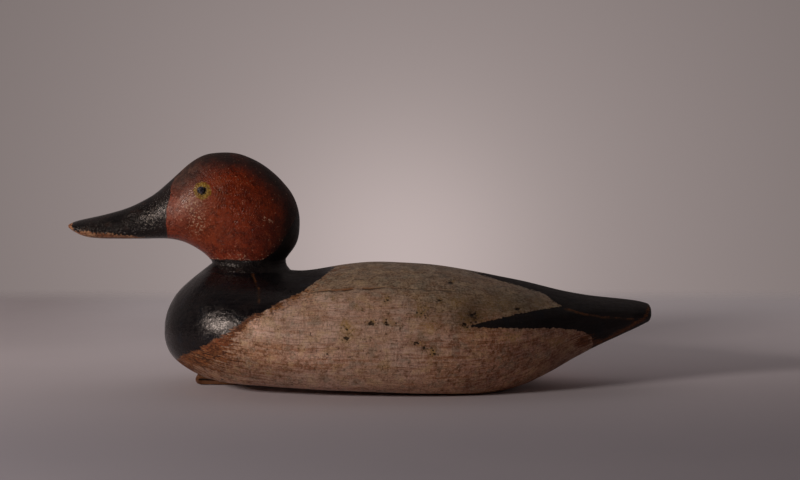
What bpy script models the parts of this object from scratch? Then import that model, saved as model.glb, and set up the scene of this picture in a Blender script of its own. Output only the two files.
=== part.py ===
"""Hollow-carved floating duck decoy: +X to the tail, +Z up, origin under the middle of its length."""

import math

import bmesh
import bpy
from mathutils import Matrix, Vector
from mathutils.bvhtree import BVHTree

MM = 0.001

# Driving dimensions, in millimetres and degrees. Hull heights count from its flat bottom.
PITCH = 2.34  # the breast is propped up this much by the folded tie under it
HEEL_X = 78.0  # where the flat bottom meets the floor
GAP = 0.3  # clearance between neighbouring pieces
SEAM_Z = 9.0  # top of the bottom board
SEAT_Z = 76.3  # neck shelf on the body
NECK_X, NECK_LONG, NECK_WIDE = -79.5, 25.4, 20.2  # shelf centre and half sizes
DOWEL_R, DOWEL_LOW, DOWEL_HIGH = 6.35, 54.0, 112.0
EYE_X, EYE_Z, EYE_R = -112.6, 128.8, 2.6
BALLAST_X, BALLAST_LONG, BALLAST_WIDE, BALLAST_THICK = 24.0, 96.0, 25.0, 4.0
NAIL_R, NAIL_HEAD_R, NAIL_HEAD_THICK = 0.9, 2.0, 0.8
BOARD_NAIL_LONG = 26.0
TIE_WIDE, TIE_THICK = 13.0, 2.7
TIE_AXIS_X, TIE_AXIS_Z = -82.0, 3.3
TIE_FOLD_X, TIE_FOLD_Z = -109.05, 3.65
TIE_ROOT_BACK, TIE_ROOT_THICK = -64.0, 4.6

# Hull stations: x, crown, keel, height of greatest width, half width, half width of flat, upper and
# lower fullness.
HULL = (
    (-136.2, 32.0, 30.0, 31.0, 0.8, 0.6, 2.0, 2.0),
    (-135.2, 40.0, 22.5, 31.0, 13.0, 0.6, 2.0, 2.0),
    (-132.4, 48.0, 15.8, 31.0, 23.0, 0.8, 2.0, 2.0),
    (-127.6, 56.2, 9.3, 31.0, 32.0, 1.2, 2.0, 2.0),
    (-120.5, 63.3, 3.6, 31.5, 40.5, 5.0, 2.0, 2.0),
    (-112.5, 70.2, 0.0, 32.0, 47.5, 15.0, 2.0, 2.0),
    (-103.0, 75.6, 0.0, 32.5, 53.5, 26.0, 2.0, 2.1),
    (-86.0, 76.3, 0.0, 33.0, 61.0, 36.0, 2.05, 2.1),
    (-66.0, 75.8, 0.0, 34.0, 67.0, 41.0, 2.05, 2.1),
    (-46.0, 73.6, 0.0, 35.0, 71.0, 44.5, 2.1, 2.1),
    (-20.0, 78.2, 0.0, 36.0, 74.0, 47.0, 2.1, 2.1),
    (10.0, 82.0, 0.0, 36.5, 75.0, 48.0, 2.1, 2.1),
    (40.0, 82.0, 0.0, 37.0, 74.0, 47.0, 2.1, 2.1),
    (64.0, 79.7, 0.0, 38.5, 70.0, 43.0, 2.1, 2.1),
    (78.0, 77.8, 0.0, 41.0, 66.5, 39.5, 2.1, 2.0),
    (94.0, 75.2, 1.3, 44.5, 61.0, 33.0, 2.1, 1.9),
    (108.0, 72.9, 4.0, 48.5, 54.5, 25.0, 2.1, 1.8),
    (120.0, 70.6, 8.0, 51.5, 48.5, 18.0, 2.1, 1.7),
    (132.0, 68.2, 13.6, 54.0, 42.5, 12.0, 2.05, 1.55),
    (144.0, 66.2, 20.2, 55.8, 37.5, 7.0, 2.0, 1.45),
    (156.0, 64.8, 27.0, 56.6, 33.3, 4.0, 2.0, 1.4),
    (168.0, 63.9, 33.3, 56.8, 30.3, 2.0, 2.0, 1.4),
    (180.0, 63.0, 39.3, 56.2, 28.0, 1.0, 2.0, 1.4),
    (188.5, 62.1, 43.9, 55.6, 25.0, 0.8, 2.0, 1.5),
    (194.0, 61.0, 48.2, 55.0, 20.5, 0.7, 2.0, 1.6),
    (197.0, 59.5, 51.2, 54.9, 15.0, 0.6, 2.0, 1.8),
    (198.0, 57.0, 53.2, 54.9, 9.0, 0.6, 2.0, 2.0),
)

# Cavity stations: x, ceiling, half width.
CAVITY = (
    (-112.0, 28.0, 9.0),
    (-108.0, 42.0, 23.0),
    (-98.0, 52.0, 34.0),
    (-80.0, 57.0, 42.0),
    (-50.0, 57.0, 49.0),
    (-10.0, 61.0, 52.0),
    (30.0, 63.0, 52.0),
    (60.0, 61.0, 48.0),
    (85.0, 56.0, 40.0),
    (100.0, 50.0, 32.0),
    (109.0, 41.0, 23.0),
    (113.0, 28.0, 10.0),
)

# Head sections, from the neck seat round to the bill's tip: lower point x, z, upper point x, z, half
# width, where along the section it is widest, lower and upper fullness.
HEAD = (
    (-104.2, 76.6, -54.6, 76.6, 19.6, 0.50, 2.0, 2.0),
    (-106.2, 79.8, -54.4, 82.0, 19.8, 0.50, 2.0, 2.0),
    (-108.8, 82.2, -49.8, 90.0, 21.2, 0.50, 2.0, 2.0),
    (-111.4, 84.2, -47.2, 99.4, 22.6, 0.49, 2.0, 2.0),
    (-113.9, 85.8, -46.9, 111.0, 23.8, 0.48, 2.0, 2.0),
    (-116.3, 87.2, -50.8, 124.6, 24.6, 0.47, 2.0, 2.05),
    (-118.7, 88.4, -61.0, 137.3, 25.0, 0.46, 2.0, 2.05),
    (-121.2, 89.5, -76.0, 148.3, 25.0, 0.45, 2.0, 2.05),
    (-123.8, 90.5, -93.0, 153.6, 24.6, 0.44, 2.0, 2.05),
    (-126.4, 91.2, -108.6, 152.4, 23.4, 0.43, 2.0, 2.05),
    (-129.2, 91.8, -120.2, 147.8, 21.4, 0.42, 2.1, 2.0),
    (-132.4, 92.3, -129.8, 139.0, 18.8, 0.41, 2.2, 2.0),
    (-136.6, 92.6, -137.6, 131.1, 16.4, 0.40, 2.3, 2.0),
    (-142.6, 92.4, -146.0, 123.3, 14.7, 0.38, 2.5, 1.95),
    (-150.0, 92.1, -154.6, 117.2, 13.7, 0.36, 2.6, 1.9),
    (-159.0, 91.8, -163.6, 112.5, 13.0, 0.34, 2.7, 1.9),
    (-168.6, 91.4, -172.6, 109.3, 12.7, 0.34, 2.7, 1.9),
    (-178.0, 91.1, -181.6, 106.6, 12.8, 0.34, 2.7, 1.9),
    (-186.6, 91.3, -189.6, 104.6, 12.6, 0.34, 2.6, 1.9),
    (-193.4, 92.3, -195.6, 103.0, 11.4, 0.36, 2.4, 1.9),
    (-198.6, 94.1, -200.0, 101.6, 9.0, 0.40, 2.2, 2.0),
    (-202.2, 95.9, -202.9, 100.2, 5.6, 0.45, 2.0, 2.0),
    (-204.2, 97.2, -204.4, 99.2, 2.4, 0.50, 2.0, 2.0),
)

BOARD_NAILS = (
    (-119.5, 0.0),
    (-92.0, 43.5),
    (-45.0, 56.7),
    (5.0, 59.0),
    (55.0, 56.5),
    (95.0, 42.0),
)

MATERIALS = {
    "body_paint": ((0.46, 0.42, 0.36, 1), 0.45, 0.0),
    "board_paint": ((0.40, 0.33, 0.26, 1), 0.6, 0.0),
    "head_paint": ((0.30, 0.09, 0.035, 1), 0.45, 0.0),
    "bare_wood": ((0.55, 0.38, 0.21, 1), 0.7, 0.0),
    "lead": ((0.22, 0.23, 0.24, 1), 0.6, 0.6),
    "iron": ((0.16, 0.13, 0.11, 1), 0.6, 0.7),
    "black_enamel": ((0.02, 0.02, 0.02, 1), 0.15, 0.0),
    "leather": ((0.23, 0.10, 0.04, 1), 0.7, 0.0),
}


def smooth_curve(values):
    """A shape-preserving cubic through values at 0, 1, 2, ..., as a function."""
    steps = [b - a for a, b in zip(values, values[1:])]
    slopes = [steps[0]]
    for before, after in zip(steps, steps[1:]):
        slopes.append(2 * before * after / (before + after) if before * after > 0 else 0.0)
    slopes.append(steps[-1])

    def at(u):
        i = min(int(u), len(steps) - 1)
        t = u - i
        low, high = slopes[i], slopes[i + 1]
        return (
            values[i]
            + t * low
            + t * t * (3 * steps[i] - 2 * low - high)
            + t * t * t * (low + high - 2 * steps[i])
        )

    return at


def stations(table, finer):
    """Rows of table with finer - 1 smooth rows between each two."""
    columns = [smooth_curve([row[i] for row in table]) for i in range(len(table[0]))]
    count = (len(table) - 1) * finer
    return [[column(i / finer) for column in columns] for i in range(count + 1)]


def power(value, fullness):
    return abs(value) ** (2 / fullness)


def hull_ring(station, arc=9, floor_points=3):
    """One cross-section of the hull, anticlockwise seen from the tail end."""
    x, crown, keel, wide_z, wide, flat, upper, lower = station
    right = []
    for i in range(arc):
        angle = math.pi / 2 * i / arc
        y = wide * power(math.cos(angle), upper)
        z = wide_z + (crown - wide_z) * power(math.sin(angle), upper)
        right.append((y, shelf(x, y, z)))
    below = []
    for i in range(1, arc + 1):
        angle = math.pi / 2 * i / arc
        y = flat + (wide - flat) * power(math.cos(angle), lower)
        below.append((y, wide_z - (wide_z - keel) * power(math.sin(angle), lower)))
    left = [(-y, z) for y, z in reversed(right)]
    ring = right + [(0.0, shelf(x, 0.0, crown))] + left
    ring += [(-y, z) for y, z in below]
    for i in range(1, floor_points):
        ring.append((flat * (2 * i / floor_points - 1), keel))
    ring += list(reversed(below))
    return [Vector((x, y, z)) for y, z in ring]


def shelf(x, y, z):
    """Raises a point of the hull's top to the neck shelf, which fairs into the shoulders."""
    out = math.hypot((x - NECK_X) / NECK_LONG, y / NECK_WIDE)
    if out <= 1:
        return SEAT_Z
    raised = SEAT_Z - 34 * (out - 1)
    blend = 7.0
    if raised < z - blend:
        return min(z, SEAT_Z) if out < 1.25 else z
    mix = max(0.0, min(1.0, 0.5 + 0.5 * (raised - z) / blend))
    soft = z + (raised - z) * mix + blend * mix * (1 - mix)
    return min(soft, SEAT_Z) if out < 1.25 else soft


def cavity_ring(station, arc=8):
    x, ceiling, wide = station
    ring = []
    for i in range(2 * arc + 1):
        angle = math.pi * i / (2 * arc)
        side = math.copysign(power(math.cos(angle), 2.4), math.cos(angle))
        ring.append(Vector((x, wide * side, ceiling * power(math.sin(angle), 2.4))))
    return ring


def head_ring(section, arc=6):
    low_x, low_z, high_x, high_z, wide, widest, lower, upper = section
    low, high = Vector((low_x, 0, low_z)), Vector((high_x, 0, high_z))
    ring = []
    for i in range(4 * arc):
        angle = 2 * math.pi * i / (4 * arc)
        c, s = math.cos(angle), math.sin(angle)
        full = upper if s >= 0 else lower
        reach = (1 - widest) if s >= 0 else -widest
        point = low.lerp(high, widest + reach * power(s, full))
        ring.append(point + Vector((0, math.copysign(wide * power(c, full), c), 0)))
    return ring


def finish(name, bm, slot, parent=None):
    """The mesh in bm as an object, facing out, in metres."""
    bmesh.ops.remove_doubles(bm, verts=bm.verts[:], dist=0.002)
    bmesh.ops.recalc_face_normals(bm, faces=bm.faces[:])
    if bm.calc_volume(signed=True) < 0:
        bmesh.ops.reverse_faces(bm, faces=bm.faces[:])
    bmesh.ops.scale(bm, vec=(MM, MM, MM), verts=bm.verts[:])
    for face in bm.faces:
        face.smooth = True
    mesh = bpy.data.meshes.new(name)
    bm.to_mesh(mesh)
    bm.free()
    mesh.set_sharp_from_angle(angle=math.radians(40))
    obj = bpy.data.objects.new(name, mesh)
    bpy.context.scene.collection.objects.link(obj)
    if slot:
        mesh.materials.append(bpy.data.materials[slot])
    obj.parent = parent
    return obj


def loft(name, rings, slot, parent=None):
    bm = bmesh.new()
    made = [[bm.verts.new(point) for point in ring] for ring in rings]
    for one, two in zip(made, made[1:]):
        for i in range(len(one)):
            j = (i + 1) % len(one)
            bm.faces.new((one[i], one[j], two[j], two[i]))
    bm.faces.new(list(reversed(made[0])))
    bm.faces.new(made[-1])
    return finish(name, bm, slot, parent)


def add_lathe(bm, profile, place=None, around=12):
    """Turns (radius, height) points that start and end on the axis."""
    place = place or Matrix.Identity(4)
    rings = []
    for radius, height in profile:
        if radius == 0:
            rings.append([bm.verts.new(place @ Vector((0, 0, height)))])
            continue
        ring = []
        for i in range(around):
            angle = 2 * math.pi * i / around
            point = Vector((radius * math.cos(angle), radius * math.sin(angle), height))
            ring.append(bm.verts.new(place @ point))
        rings.append(ring)
    for one, two in zip(rings, rings[1:]):
        for i in range(around):
            j = (i + 1) % around
            corners = [one[i % len(one)], one[j % len(one)], two[j % len(two)], two[i % len(two)]]
            bm.faces.new(list(dict.fromkeys(corners)))


def block(name, low, high):
    bm = bmesh.new()
    bmesh.ops.create_cube(bm, size=1)
    for vert in bm.verts:
        for i in range(3):
            vert.co[i] = low[i] if vert.co[i] < 0 else high[i]
    return finish(name, bm, None)


def slab(name, outline, half_wide, slot, parent):
    """A side outline of (x, z) points, as wide as the strip."""
    bm = bmesh.new()
    sides = []
    for y in (-half_wide, half_wide):
        sides.append([bm.verts.new((x, y, z)) for x, z in outline])
    near, far = sides
    bm.faces.new(near)
    bm.faces.new(list(reversed(far)))
    for i in range(len(near)):
        j = (i + 1) % len(near)
        bm.faces.new((near[i], far[i], far[j], near[j]))
    return finish(name, bm, slot, parent)


def cut(target, cutter, operation="DIFFERENCE"):
    cutter.hide_render = True
    cutter.display_type = "WIRE"
    cutter.parent = target.parent
    modifier = target.modifiers.new(cutter.name, "BOOLEAN")
    modifier.solver = "EXACT"
    modifier.operation = operation
    modifier.object = cutter


def nail_profile(z, length, head_r=NAIL_HEAD_R):
    """A wire nail driven upwards, its head's underside at z."""
    return (
        (0, z - NAIL_HEAD_THICK),
        (0.75 * head_r, z - NAIL_HEAD_THICK),
        (head_r, z - 0.45 * NAIL_HEAD_THICK),
        (head_r, z),
        (NAIL_R, z + 0.1),
        (NAIL_R, z + length - 2.5),
        (0, z + length),
    )


def hole_profile(z, length, depth_below):
    """The hole of such a nail, with a counterbore for its head."""
    return (
        (0, z - depth_below),
        (NAIL_HEAD_R + GAP, z - depth_below),
        (NAIL_HEAD_R + GAP, z + 0.2),
        (NAIL_R + GAP, z + 0.2),
        (NAIL_R + GAP, z + length + GAP),
        (0, z + length + GAP),
    )


def drive_nails(prefix, spots, length, parent, depth_below=6.0):
    """Nails at (x, y, z) spots, and one cutter with all their holes."""
    holes = bmesh.new()
    for number, (x, y, z) in enumerate(spots, 1):
        place = Matrix.Translation((x, y, 0))
        bm = bmesh.new()
        add_lathe(bm, nail_profile(z, length), place, around=10)
        finish(f"{prefix}_{number:02d}", bm, "iron", parent)
        add_lathe(holes, hole_profile(z, length, depth_below), place, around=10)
    return finish(f"{prefix}_holes", holes, None)


def keel_height(x, y):
    """The hull's underside at a point of its plan."""
    x0, _, keel, wide_z, wide, flat, _, lower = min(
        stations(HULL, 8), key=lambda row: abs(row[0] - x)
    )
    if abs(y) <= flat:
        return keel
    across = (abs(y) - flat) / (wide - flat)
    return wide_z - (wide_z - keel) * (1 - across**lower) ** (1 / lower)


def belt(centre_a, radius_a, centre_b, radius_b, offset):
    """Points of a belt round two circles, A nearer the tail, as (x, z) relative to A's centre."""
    run = Vector(centre_b) - Vector(centre_a)
    lean = math.asin((radius_b - radius_a) / run.length)
    along = math.atan2(run.y, run.x)
    points = []
    for centre, radius, start, sweep, count in (
        (Vector(centre_a), radius_a, along + math.pi / 2 + lean, math.pi - 2 * lean, 8),
        (Vector(centre_b), radius_b, along - math.pi / 2 - lean, math.pi + 2 * lean, 12),
    ):
        for i in range(count + 1):
            angle = start + sweep * i / count
            reach = radius + offset
            spoke = Vector((math.cos(angle), math.sin(angle))) * reach
            points.append(centre - Vector(centre_a) + spoke)
    return points


def tie_loop(parent):
    """The folded strip, flattened forward under the breast. It swings about its own origin."""
    circles = ((TIE_AXIS_X, TIE_AXIS_Z), 1.5, (TIE_FOLD_X, TIE_FOLD_Z), 2.3)
    outer = belt(*circles, TIE_THICK / 2)
    inner = belt(*circles, -TIE_THICK / 2)
    bm = bmesh.new()
    loops = []
    for points, y in (
        (outer, -TIE_WIDE / 2),
        (outer, TIE_WIDE / 2),
        (inner, TIE_WIDE / 2),
        (inner, -TIE_WIDE / 2),
    ):
        loops.append([bm.verts.new((x, y, z)) for x, z in points])
    for one, two in zip(loops, loops[1:] + loops[:1]):
        for i in range(len(one)):
            j = (i + 1) % len(one)
            bm.faces.new((one[i], one[j], two[j], two[i]))
    obj = finish("tie_loop", bm, "leather")
    obj.parent = parent
    return obj


def make_materials():
    for name, (colour, roughness, metallic) in MATERIALS.items():
        material = bpy.data.materials.new(name)
        material.use_nodes = True
        shader = material.node_tree.nodes["Principled BSDF"]
        shader.inputs["Base Color"].default_value = colour
        shader.inputs["Roughness"].default_value = roughness
        shader.inputs["Metallic"].default_value = metallic


def empty(name, location_mm, rotation=(0, 0, 0)):
    obj = bpy.data.objects.new(name, None)
    bpy.context.scene.collection.objects.link(obj)
    obj.location = Vector(location_mm) * MM
    obj.rotation_euler = rotation
    return obj


def main():
    for obj in list(bpy.data.objects):
        bpy.data.objects.remove(obj)
    make_materials()

    # Everything of the hull is drawn level, then set at the angle that it rests at.
    angle = math.radians(PITCH)
    heel = Vector((HEEL_X, 0, 0))
    spun = Matrix.Rotation(angle, 3, "Y") @ heel
    hull = empty("hull_frame", heel - spun, (0, angle, 0))

    hull_rings = [hull_ring(row) for row in stations(HULL, 2)]
    lowest = min((Matrix.Rotation(angle, 3, "Y") @ p).z for ring in hull_rings for p in ring)
    hull.location.z = -lowest * MM

    shell = loft("body_shell", hull_rings, "body_paint", hull)
    board = loft("bottom_board", hull_rings, "board_paint", hull)
    cut(shell, block("below_seam", (-150, -90, -10), (150, 90, SEAM_Z + GAP / 2)))
    cut(board, block("above_seam", (-150, -90, SEAM_Z - GAP / 2), (210, 90, 100)))
    cut(shell, loft("cavity", [cavity_ring(row) for row in stations(CAVITY, 2)], None))

    head = loft("head", [head_ring(row) for row in stations(HEAD, 2)], "head_paint", hull)

    # Neck dowel, glued into the head and through the top of the shell.
    place = Matrix.Translation((NECK_X, 0, 0))
    bm = bmesh.new()
    chamfer = 1.0
    dowel_profile = (
        (0, DOWEL_LOW),
        (DOWEL_R - chamfer, DOWEL_LOW),
        (DOWEL_R, DOWEL_LOW + chamfer),
        (DOWEL_R, DOWEL_HIGH - chamfer),
        (DOWEL_R - chamfer, DOWEL_HIGH),
        (0, DOWEL_HIGH),
    )
    add_lathe(bm, dowel_profile, place, around=20)
    finish("neck_dowel", bm, "bare_wood", hull)
    socket = bmesh.new()
    reach = DOWEL_R + GAP
    socket_profile = ((0, 40.0), (reach, 40.0), (reach, DOWEL_HIGH + 1), (0, DOWEL_HIGH + 1))
    add_lathe(socket, socket_profile, place, around=20)
    dowel_hole = finish("dowel_hole", socket, None)
    cut(shell, dowel_hole)
    cut(head, dowel_hole)

    # Eye tacks: domed heads, with their shanks in the cheeks.
    head_mesh = bmesh.new()
    head_mesh.from_mesh(head.data)
    tree = BVHTree.FromBMesh(head_mesh)
    head_mesh.free()
    eye_holes = bmesh.new()
    for side, toward in (("left", 1.0), ("right", -1.0)):
        start = Vector((EYE_X, -toward * 60, EYE_Z)) * MM
        spot, normal, _, _ = tree.ray_cast(start, Vector((0, toward, 0)))
        place = Matrix.Translation(spot / MM) @ normal.to_track_quat("Z", "Y").to_matrix().to_4x4()
        bm = bmesh.new()
        dome = [(0, -9.0), (0.7, -7.5), (0.7, 0.25), (EYE_R, 0.3)]
        dome += [(EYE_R * math.cos(a), 0.3 + 1.5 * math.sin(a)) for a in (0.35, 0.75, 1.15)]
        add_lathe(bm, dome + [(0, 1.8)], place, around=16)
        finish(f"eye_tack_{side}", bm, "black_enamel", hull)
        hole = ((0, -9.5), (0.7 + GAP, -9.5), (0.7 + GAP, -0.4), (EYE_R + 0.3, 0.05))
        hole += ((EYE_R + 0.3, 3.0), (0, 3.0))
        add_lathe(eye_holes, hole, place, around=16)
    cut(head, finish("eye_holes", eye_holes, None))

    # Lead strip let into the bottom, its face flush.
    low = BALLAST_X - BALLAST_LONG / 2
    high = BALLAST_X + BALLAST_LONG / 2
    half = BALLAST_WIDE / 2
    recess = block(
        "ballast_recess",
        (low - GAP, -half - GAP, -5),
        (high + GAP, half + GAP, BALLAST_THICK + GAP),
    )
    cut(board, recess)
    ballast = block("ballast_strip", (low, -half, 0), (high, half, BALLAST_THICK))
    ballast.parent = hull
    ballast.data.materials.append(bpy.data.materials["lead"])
    spots = [
        (x, y, 1.1)
        for x in (low + 9, high - 9)
        for y in (-6.5, 6.5)
    ]
    ballast_holes = drive_nails("ballast_nail", spots, 7.0, hull)
    cut(ballast, ballast_holes)
    cut(board, ballast_holes)

    # Nails round the rim, their heads set below the surface.
    spots = []
    for x, y in BOARD_NAILS:
        z = keel_height(x, y) + 1.6
        spots += [(x, side, z) for side in sorted({-y, y})]
    board_holes = drive_nails("board_nail", spots, BOARD_NAIL_LONG, hull)
    cut(board, board_holes)
    cut(shell, board_holes)

    # Leather anchor tie: a nailed root, and the folded loop that swings at its front edge.
    axis_on_hull = (Vector((TIE_AXIS_X, 0, TIE_AXIS_Z)) - hull.location / MM)
    axis_on_hull.rotate(Matrix.Rotation(-angle, 3, "Y"))
    front = axis_on_hull.x + 1.5 + TIE_THICK / 2 + GAP
    low_z = -GAP - TIE_ROOT_THICK
    outline = (
        (front, -GAP - 0.4),
        (front + 0.4, -GAP),
        (TIE_ROOT_BACK - 0.4, -GAP),
        (TIE_ROOT_BACK, -GAP - 0.4),
        (TIE_ROOT_BACK - 1.2, low_z),
        (front + 3.2, low_z),
        (front + 0.6, low_z + 1.8),
    )
    root = slab("tie_root", outline, TIE_WIDE / 2, "leather", hull)
    middle = (front + TIE_ROOT_BACK) / 2 + 1.0
    spots = [(middle, -3.4, low_z), (middle, 3.4, low_z)]
    tie_holes = drive_nails("tie_nail", spots, 13.0, hull)
    cut(root, tie_holes)
    cut(board, tie_holes)

    pivot = empty("tie_pivot", (TIE_AXIS_X, 0, TIE_AXIS_Z))
    tie_loop(pivot)


main()
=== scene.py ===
"""Looks for the floating duck decoy: carved skins, worn paint, leather tie, light and camera."""

import math
from types import SimpleNamespace

import bmesh
import bpy
import numpy as np
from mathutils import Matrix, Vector


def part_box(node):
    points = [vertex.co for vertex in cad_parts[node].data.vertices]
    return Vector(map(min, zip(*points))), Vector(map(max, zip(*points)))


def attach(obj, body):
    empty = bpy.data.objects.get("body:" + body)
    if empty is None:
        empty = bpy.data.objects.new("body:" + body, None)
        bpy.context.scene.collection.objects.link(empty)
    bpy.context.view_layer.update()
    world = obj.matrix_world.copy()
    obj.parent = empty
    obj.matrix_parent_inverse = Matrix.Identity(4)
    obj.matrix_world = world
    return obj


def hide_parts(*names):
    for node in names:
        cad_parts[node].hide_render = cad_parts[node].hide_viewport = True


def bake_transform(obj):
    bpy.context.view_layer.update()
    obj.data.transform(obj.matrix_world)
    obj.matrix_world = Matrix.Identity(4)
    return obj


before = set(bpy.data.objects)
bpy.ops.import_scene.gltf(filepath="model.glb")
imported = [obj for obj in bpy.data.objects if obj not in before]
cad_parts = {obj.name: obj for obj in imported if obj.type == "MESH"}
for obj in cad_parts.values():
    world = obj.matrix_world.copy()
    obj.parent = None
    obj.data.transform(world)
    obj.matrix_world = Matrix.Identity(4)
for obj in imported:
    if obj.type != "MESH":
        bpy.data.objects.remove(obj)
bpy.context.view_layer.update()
MM = 0.001

# The carved shape, in millimetres. The hull is drawn level and set at its resting angle.
PITCH = math.radians(2.34)
HEEL_X = 78.0
SEAM_Z = 9.0
FLAT_FROM = -96.0
ARC = 62
SEAT_Z = 76.3
NECK_X, NECK_LONG, NECK_WIDE = -79.4, 25.0, 19.8
SHOULDER_SLOPE, SHOULDER_BLEND = 34, 7.0
EYE_X, EYE_Z = -112.6, 128.8

# x, crown, keel, height of greatest width, half width, half width of flat, fullness above and below
HULL = (
    (-136.2, 32, 30, 31, 0.8, 0.6, 2, 2),
    (-135.2, 40, 22.5, 31, 13, 0.6, 2, 2),
    (-132.4, 48, 15.8, 31, 23, 0.8, 2, 2),
    (-127.6, 56.2, 10, 31, 32, 1.2, 2, 2),
    (-120.5, 63.5, 5.4, 31.5, 40.5, 3, 2, 2),
    (-112.5, 70.6, 2.2, 32, 47.5, 9, 2, 2),
    (-103, 75.8, 0.4, 32.5, 53.5, 20, 2, 2.1),
    (-86, 76.3, 0, 33, 61, 36, 2.05, 2.1),
    (-66, 75.2, 0, 34, 67, 41, 2.05, 2.1),
    (-46, 72.3, 0, 35, 71, 44.5, 2.1, 2.1),
    (-20, 77.4, 0, 36, 74, 47, 2.1, 2.1),
    (10, 81.4, 0, 36.5, 75, 48, 2.1, 2.1),
    (40, 81.6, 0, 37, 74, 47, 2.1, 2.1),
    (64, 79.1, 0, 38.5, 70, 43, 2.1, 2.1),
    (78, 77.1, 0, 41, 66.5, 39.5, 2.1, 2),
    (94, 74.4, 1.3, 44.5, 61, 33, 2.1, 1.9),
    (108, 72.1, 4, 48.5, 54.5, 25, 2.1, 1.8),
    (120, 69.8, 8, 51.5, 48.5, 18, 2.1, 1.7),
    (132, 67.4, 13.6, 54, 42.5, 12, 2.05, 1.55),
    (144, 65.3, 20.2, 55.8, 37.5, 7, 2, 1.45),
    (156, 63.9, 27, 56.6, 33.3, 4, 2, 1.4),
    (168, 63, 33.3, 56.8, 30.3, 2, 2, 1.4),
    (180, 62.5, 39.3, 56.2, 28, 1, 2, 1.4),
    (188.5, 62.1, 43.9, 55.6, 25, 0.8, 2, 1.5),
    (194, 61.2, 47.2, 55, 20.5, 0.7, 2, 1.6),
    (196.8, 60.5, 49, 54.9, 16, 0.6, 2, 1.8),
    (197.8, 58.8, 51.4, 54.9, 10, 0.6, 2, 2),
)

# lower point x, z, upper point x, z, half width, where it is widest, fullness below and above
HEAD = (
    (-104.2, 76.6, -54.6, 76.6, 19.6, 0.5, 2, 2),
    (-106.2, 79.8, -54.4, 82, 19.8, 0.5, 2, 2),
    (-108.8, 82.2, -48.4, 90.4, 21.2, 0.5, 2, 2),
    (-111.4, 84.2, -46, 99.8, 22.6, 0.49, 2, 2),
    (-113.9, 85.8, -46, 111, 23.8, 0.48, 2, 2),
    (-116.3, 87.2, -50.2, 124.8, 24.6, 0.47, 2, 2.05),
    (-118.7, 88.4, -61, 137.3, 25, 0.46, 2, 2.05),
    (-121.2, 89.5, -76, 148.3, 25, 0.45, 2, 2.05),
    (-123.8, 90.5, -93, 153.6, 24.6, 0.44, 2, 2.05),
    (-126.4, 91.2, -108.6, 152.4, 23.4, 0.43, 2, 2.05),
    (-129.2, 91.8, -119.9, 147.1, 21.4, 0.42, 2.1, 2),
    (-132.4, 92.3, -129.4, 138.1, 18.8, 0.41, 2.2, 2),
    (-136.6, 92.6, -137.3, 130.4, 16.4, 0.4, 2.3, 2),
    (-142.6, 92.4, -145.8, 122.8, 14.7, 0.38, 2.5, 1.95),
    (-150, 92.1, -154.6, 117.2, 13.7, 0.36, 2.6, 1.9),
    (-159, 91.8, -163.6, 112.5, 13, 0.34, 2.7, 1.9),
    (-168.6, 91.4, -172.6, 109.3, 12.7, 0.34, 2.7, 1.9),
    (-178, 91.1, -181.6, 106.6, 12.8, 0.34, 2.7, 1.9),
    (-186.6, 91.3, -189.6, 104.6, 12.6, 0.34, 2.6, 1.9),
    (-193.4, 92.3, -195.6, 103, 11.4, 0.36, 2.4, 1.9),
    (-198.6, 94.1, -200, 101.6, 9, 0.4, 2.2, 2),
    (-202.2, 95.9, -202.9, 100.2, 5.6, 0.45, 2, 2),
    (-204.2, 97.2, -204.4, 99.2, 2.4, 0.5, 2, 2),
)

# The same for the filler that fairs the neck into the shoulders.
NECK_FILLER = (
    (-109.6, 72, -49.6, 72, 24.4, 0.5, 2, 2),
    (-107, 74.9, -52, 75.2, 22.4, 0.5, 2, 2),
    (-105.3, 76.3, -53.6, 77.2, 20.9, 0.5, 2, 2),
    (-104.7, 77.4, -54.3, 79.4, 20, 0.5, 2, 2),
    (-105.6, 79, -54.5, 81.6, 19.8, 0.5, 2, 2),
)

# Paint lines, as (x, z) of the side elevation.
BREAST_LINE = (
    (5, 97), (-10.4, 84.6), (-23.1, 75.2), (-30.4, 69), (-37, 63.6), (-43.7, 58.8),
    (-57.2, 52.1), (-63.9, 47.4), (-74, 42.1), (-79.4, 39.2), (-84, 35.2), (-93.3, 26.9),
    (-100.7, 23.5), (-104.7, 19.9), (-110.7, 15.9), (-122.9, 10.6), (-128, 6), (-132, -2),
)
TAIL_BLACK = (
    (51.6, 83), (72.4, 78), (82.8, 75.2), (93.2, 72.5), (103.6, 70), (112.7, 67.2),
    (119.6, 66), (125.2, 64), (129.5, 60.4), (137, 56.9), (129.7, 55.6), (122.9, 54),
    (114.7, 51.9), (104.5, 49.4), (94.3, 46.6), (83.4, 43.7), (79.3, 42.5), (72, 39.9),
    (80.8, 39.6), (94.6, 39.7), (108.4, 39.8), (122.1, 40.8), (135.8, 41), (146.2, 40.2),
    (153.1, 39.2), (158, 36), (159.6, 31), (157.7, 25.5), (154, 10),
    (230, 10), (230, 110), (51.6, 110),
)
BILL_LINE = (
    (-126, 146), (-130.9, 138.6), (-134.9, 128.7), (-135.6, 121), (-137.7, 112.2),
    (-137.6, 102.2), (-136.2, 94.8), (-134.5, 85),
)
COLLAR_LINE = (
    (-118, 79.6), (-104.4, 79.6), (-88, 79.5), (-76, 79.8), (-70.7, 80.5), (-66.5, 82.8),
    (-62.5, 86.2), (-58.5, 91.5), (-54.5, 99), (-48, 112),
)
FLANK_CHECK = (
    (-41.6, 58.6), (-30, 60.4), (-19.8, 61.5), (-6.1, 63.3), (4.2, 63.2), (14.5, 64.7),
    (38.6, 64.6), (52.3, 64.5), (66.1, 64), (78.5, 62.8),
)
TAIL_CHECK = ((137.3, 54.9), (149.1, 51.9), (162.9, 50.1), (176.7, 49.6), (186.3, 49))
TAIL_CHECK_FROM, SCRATCH_BEFORE = 112, -55
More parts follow.
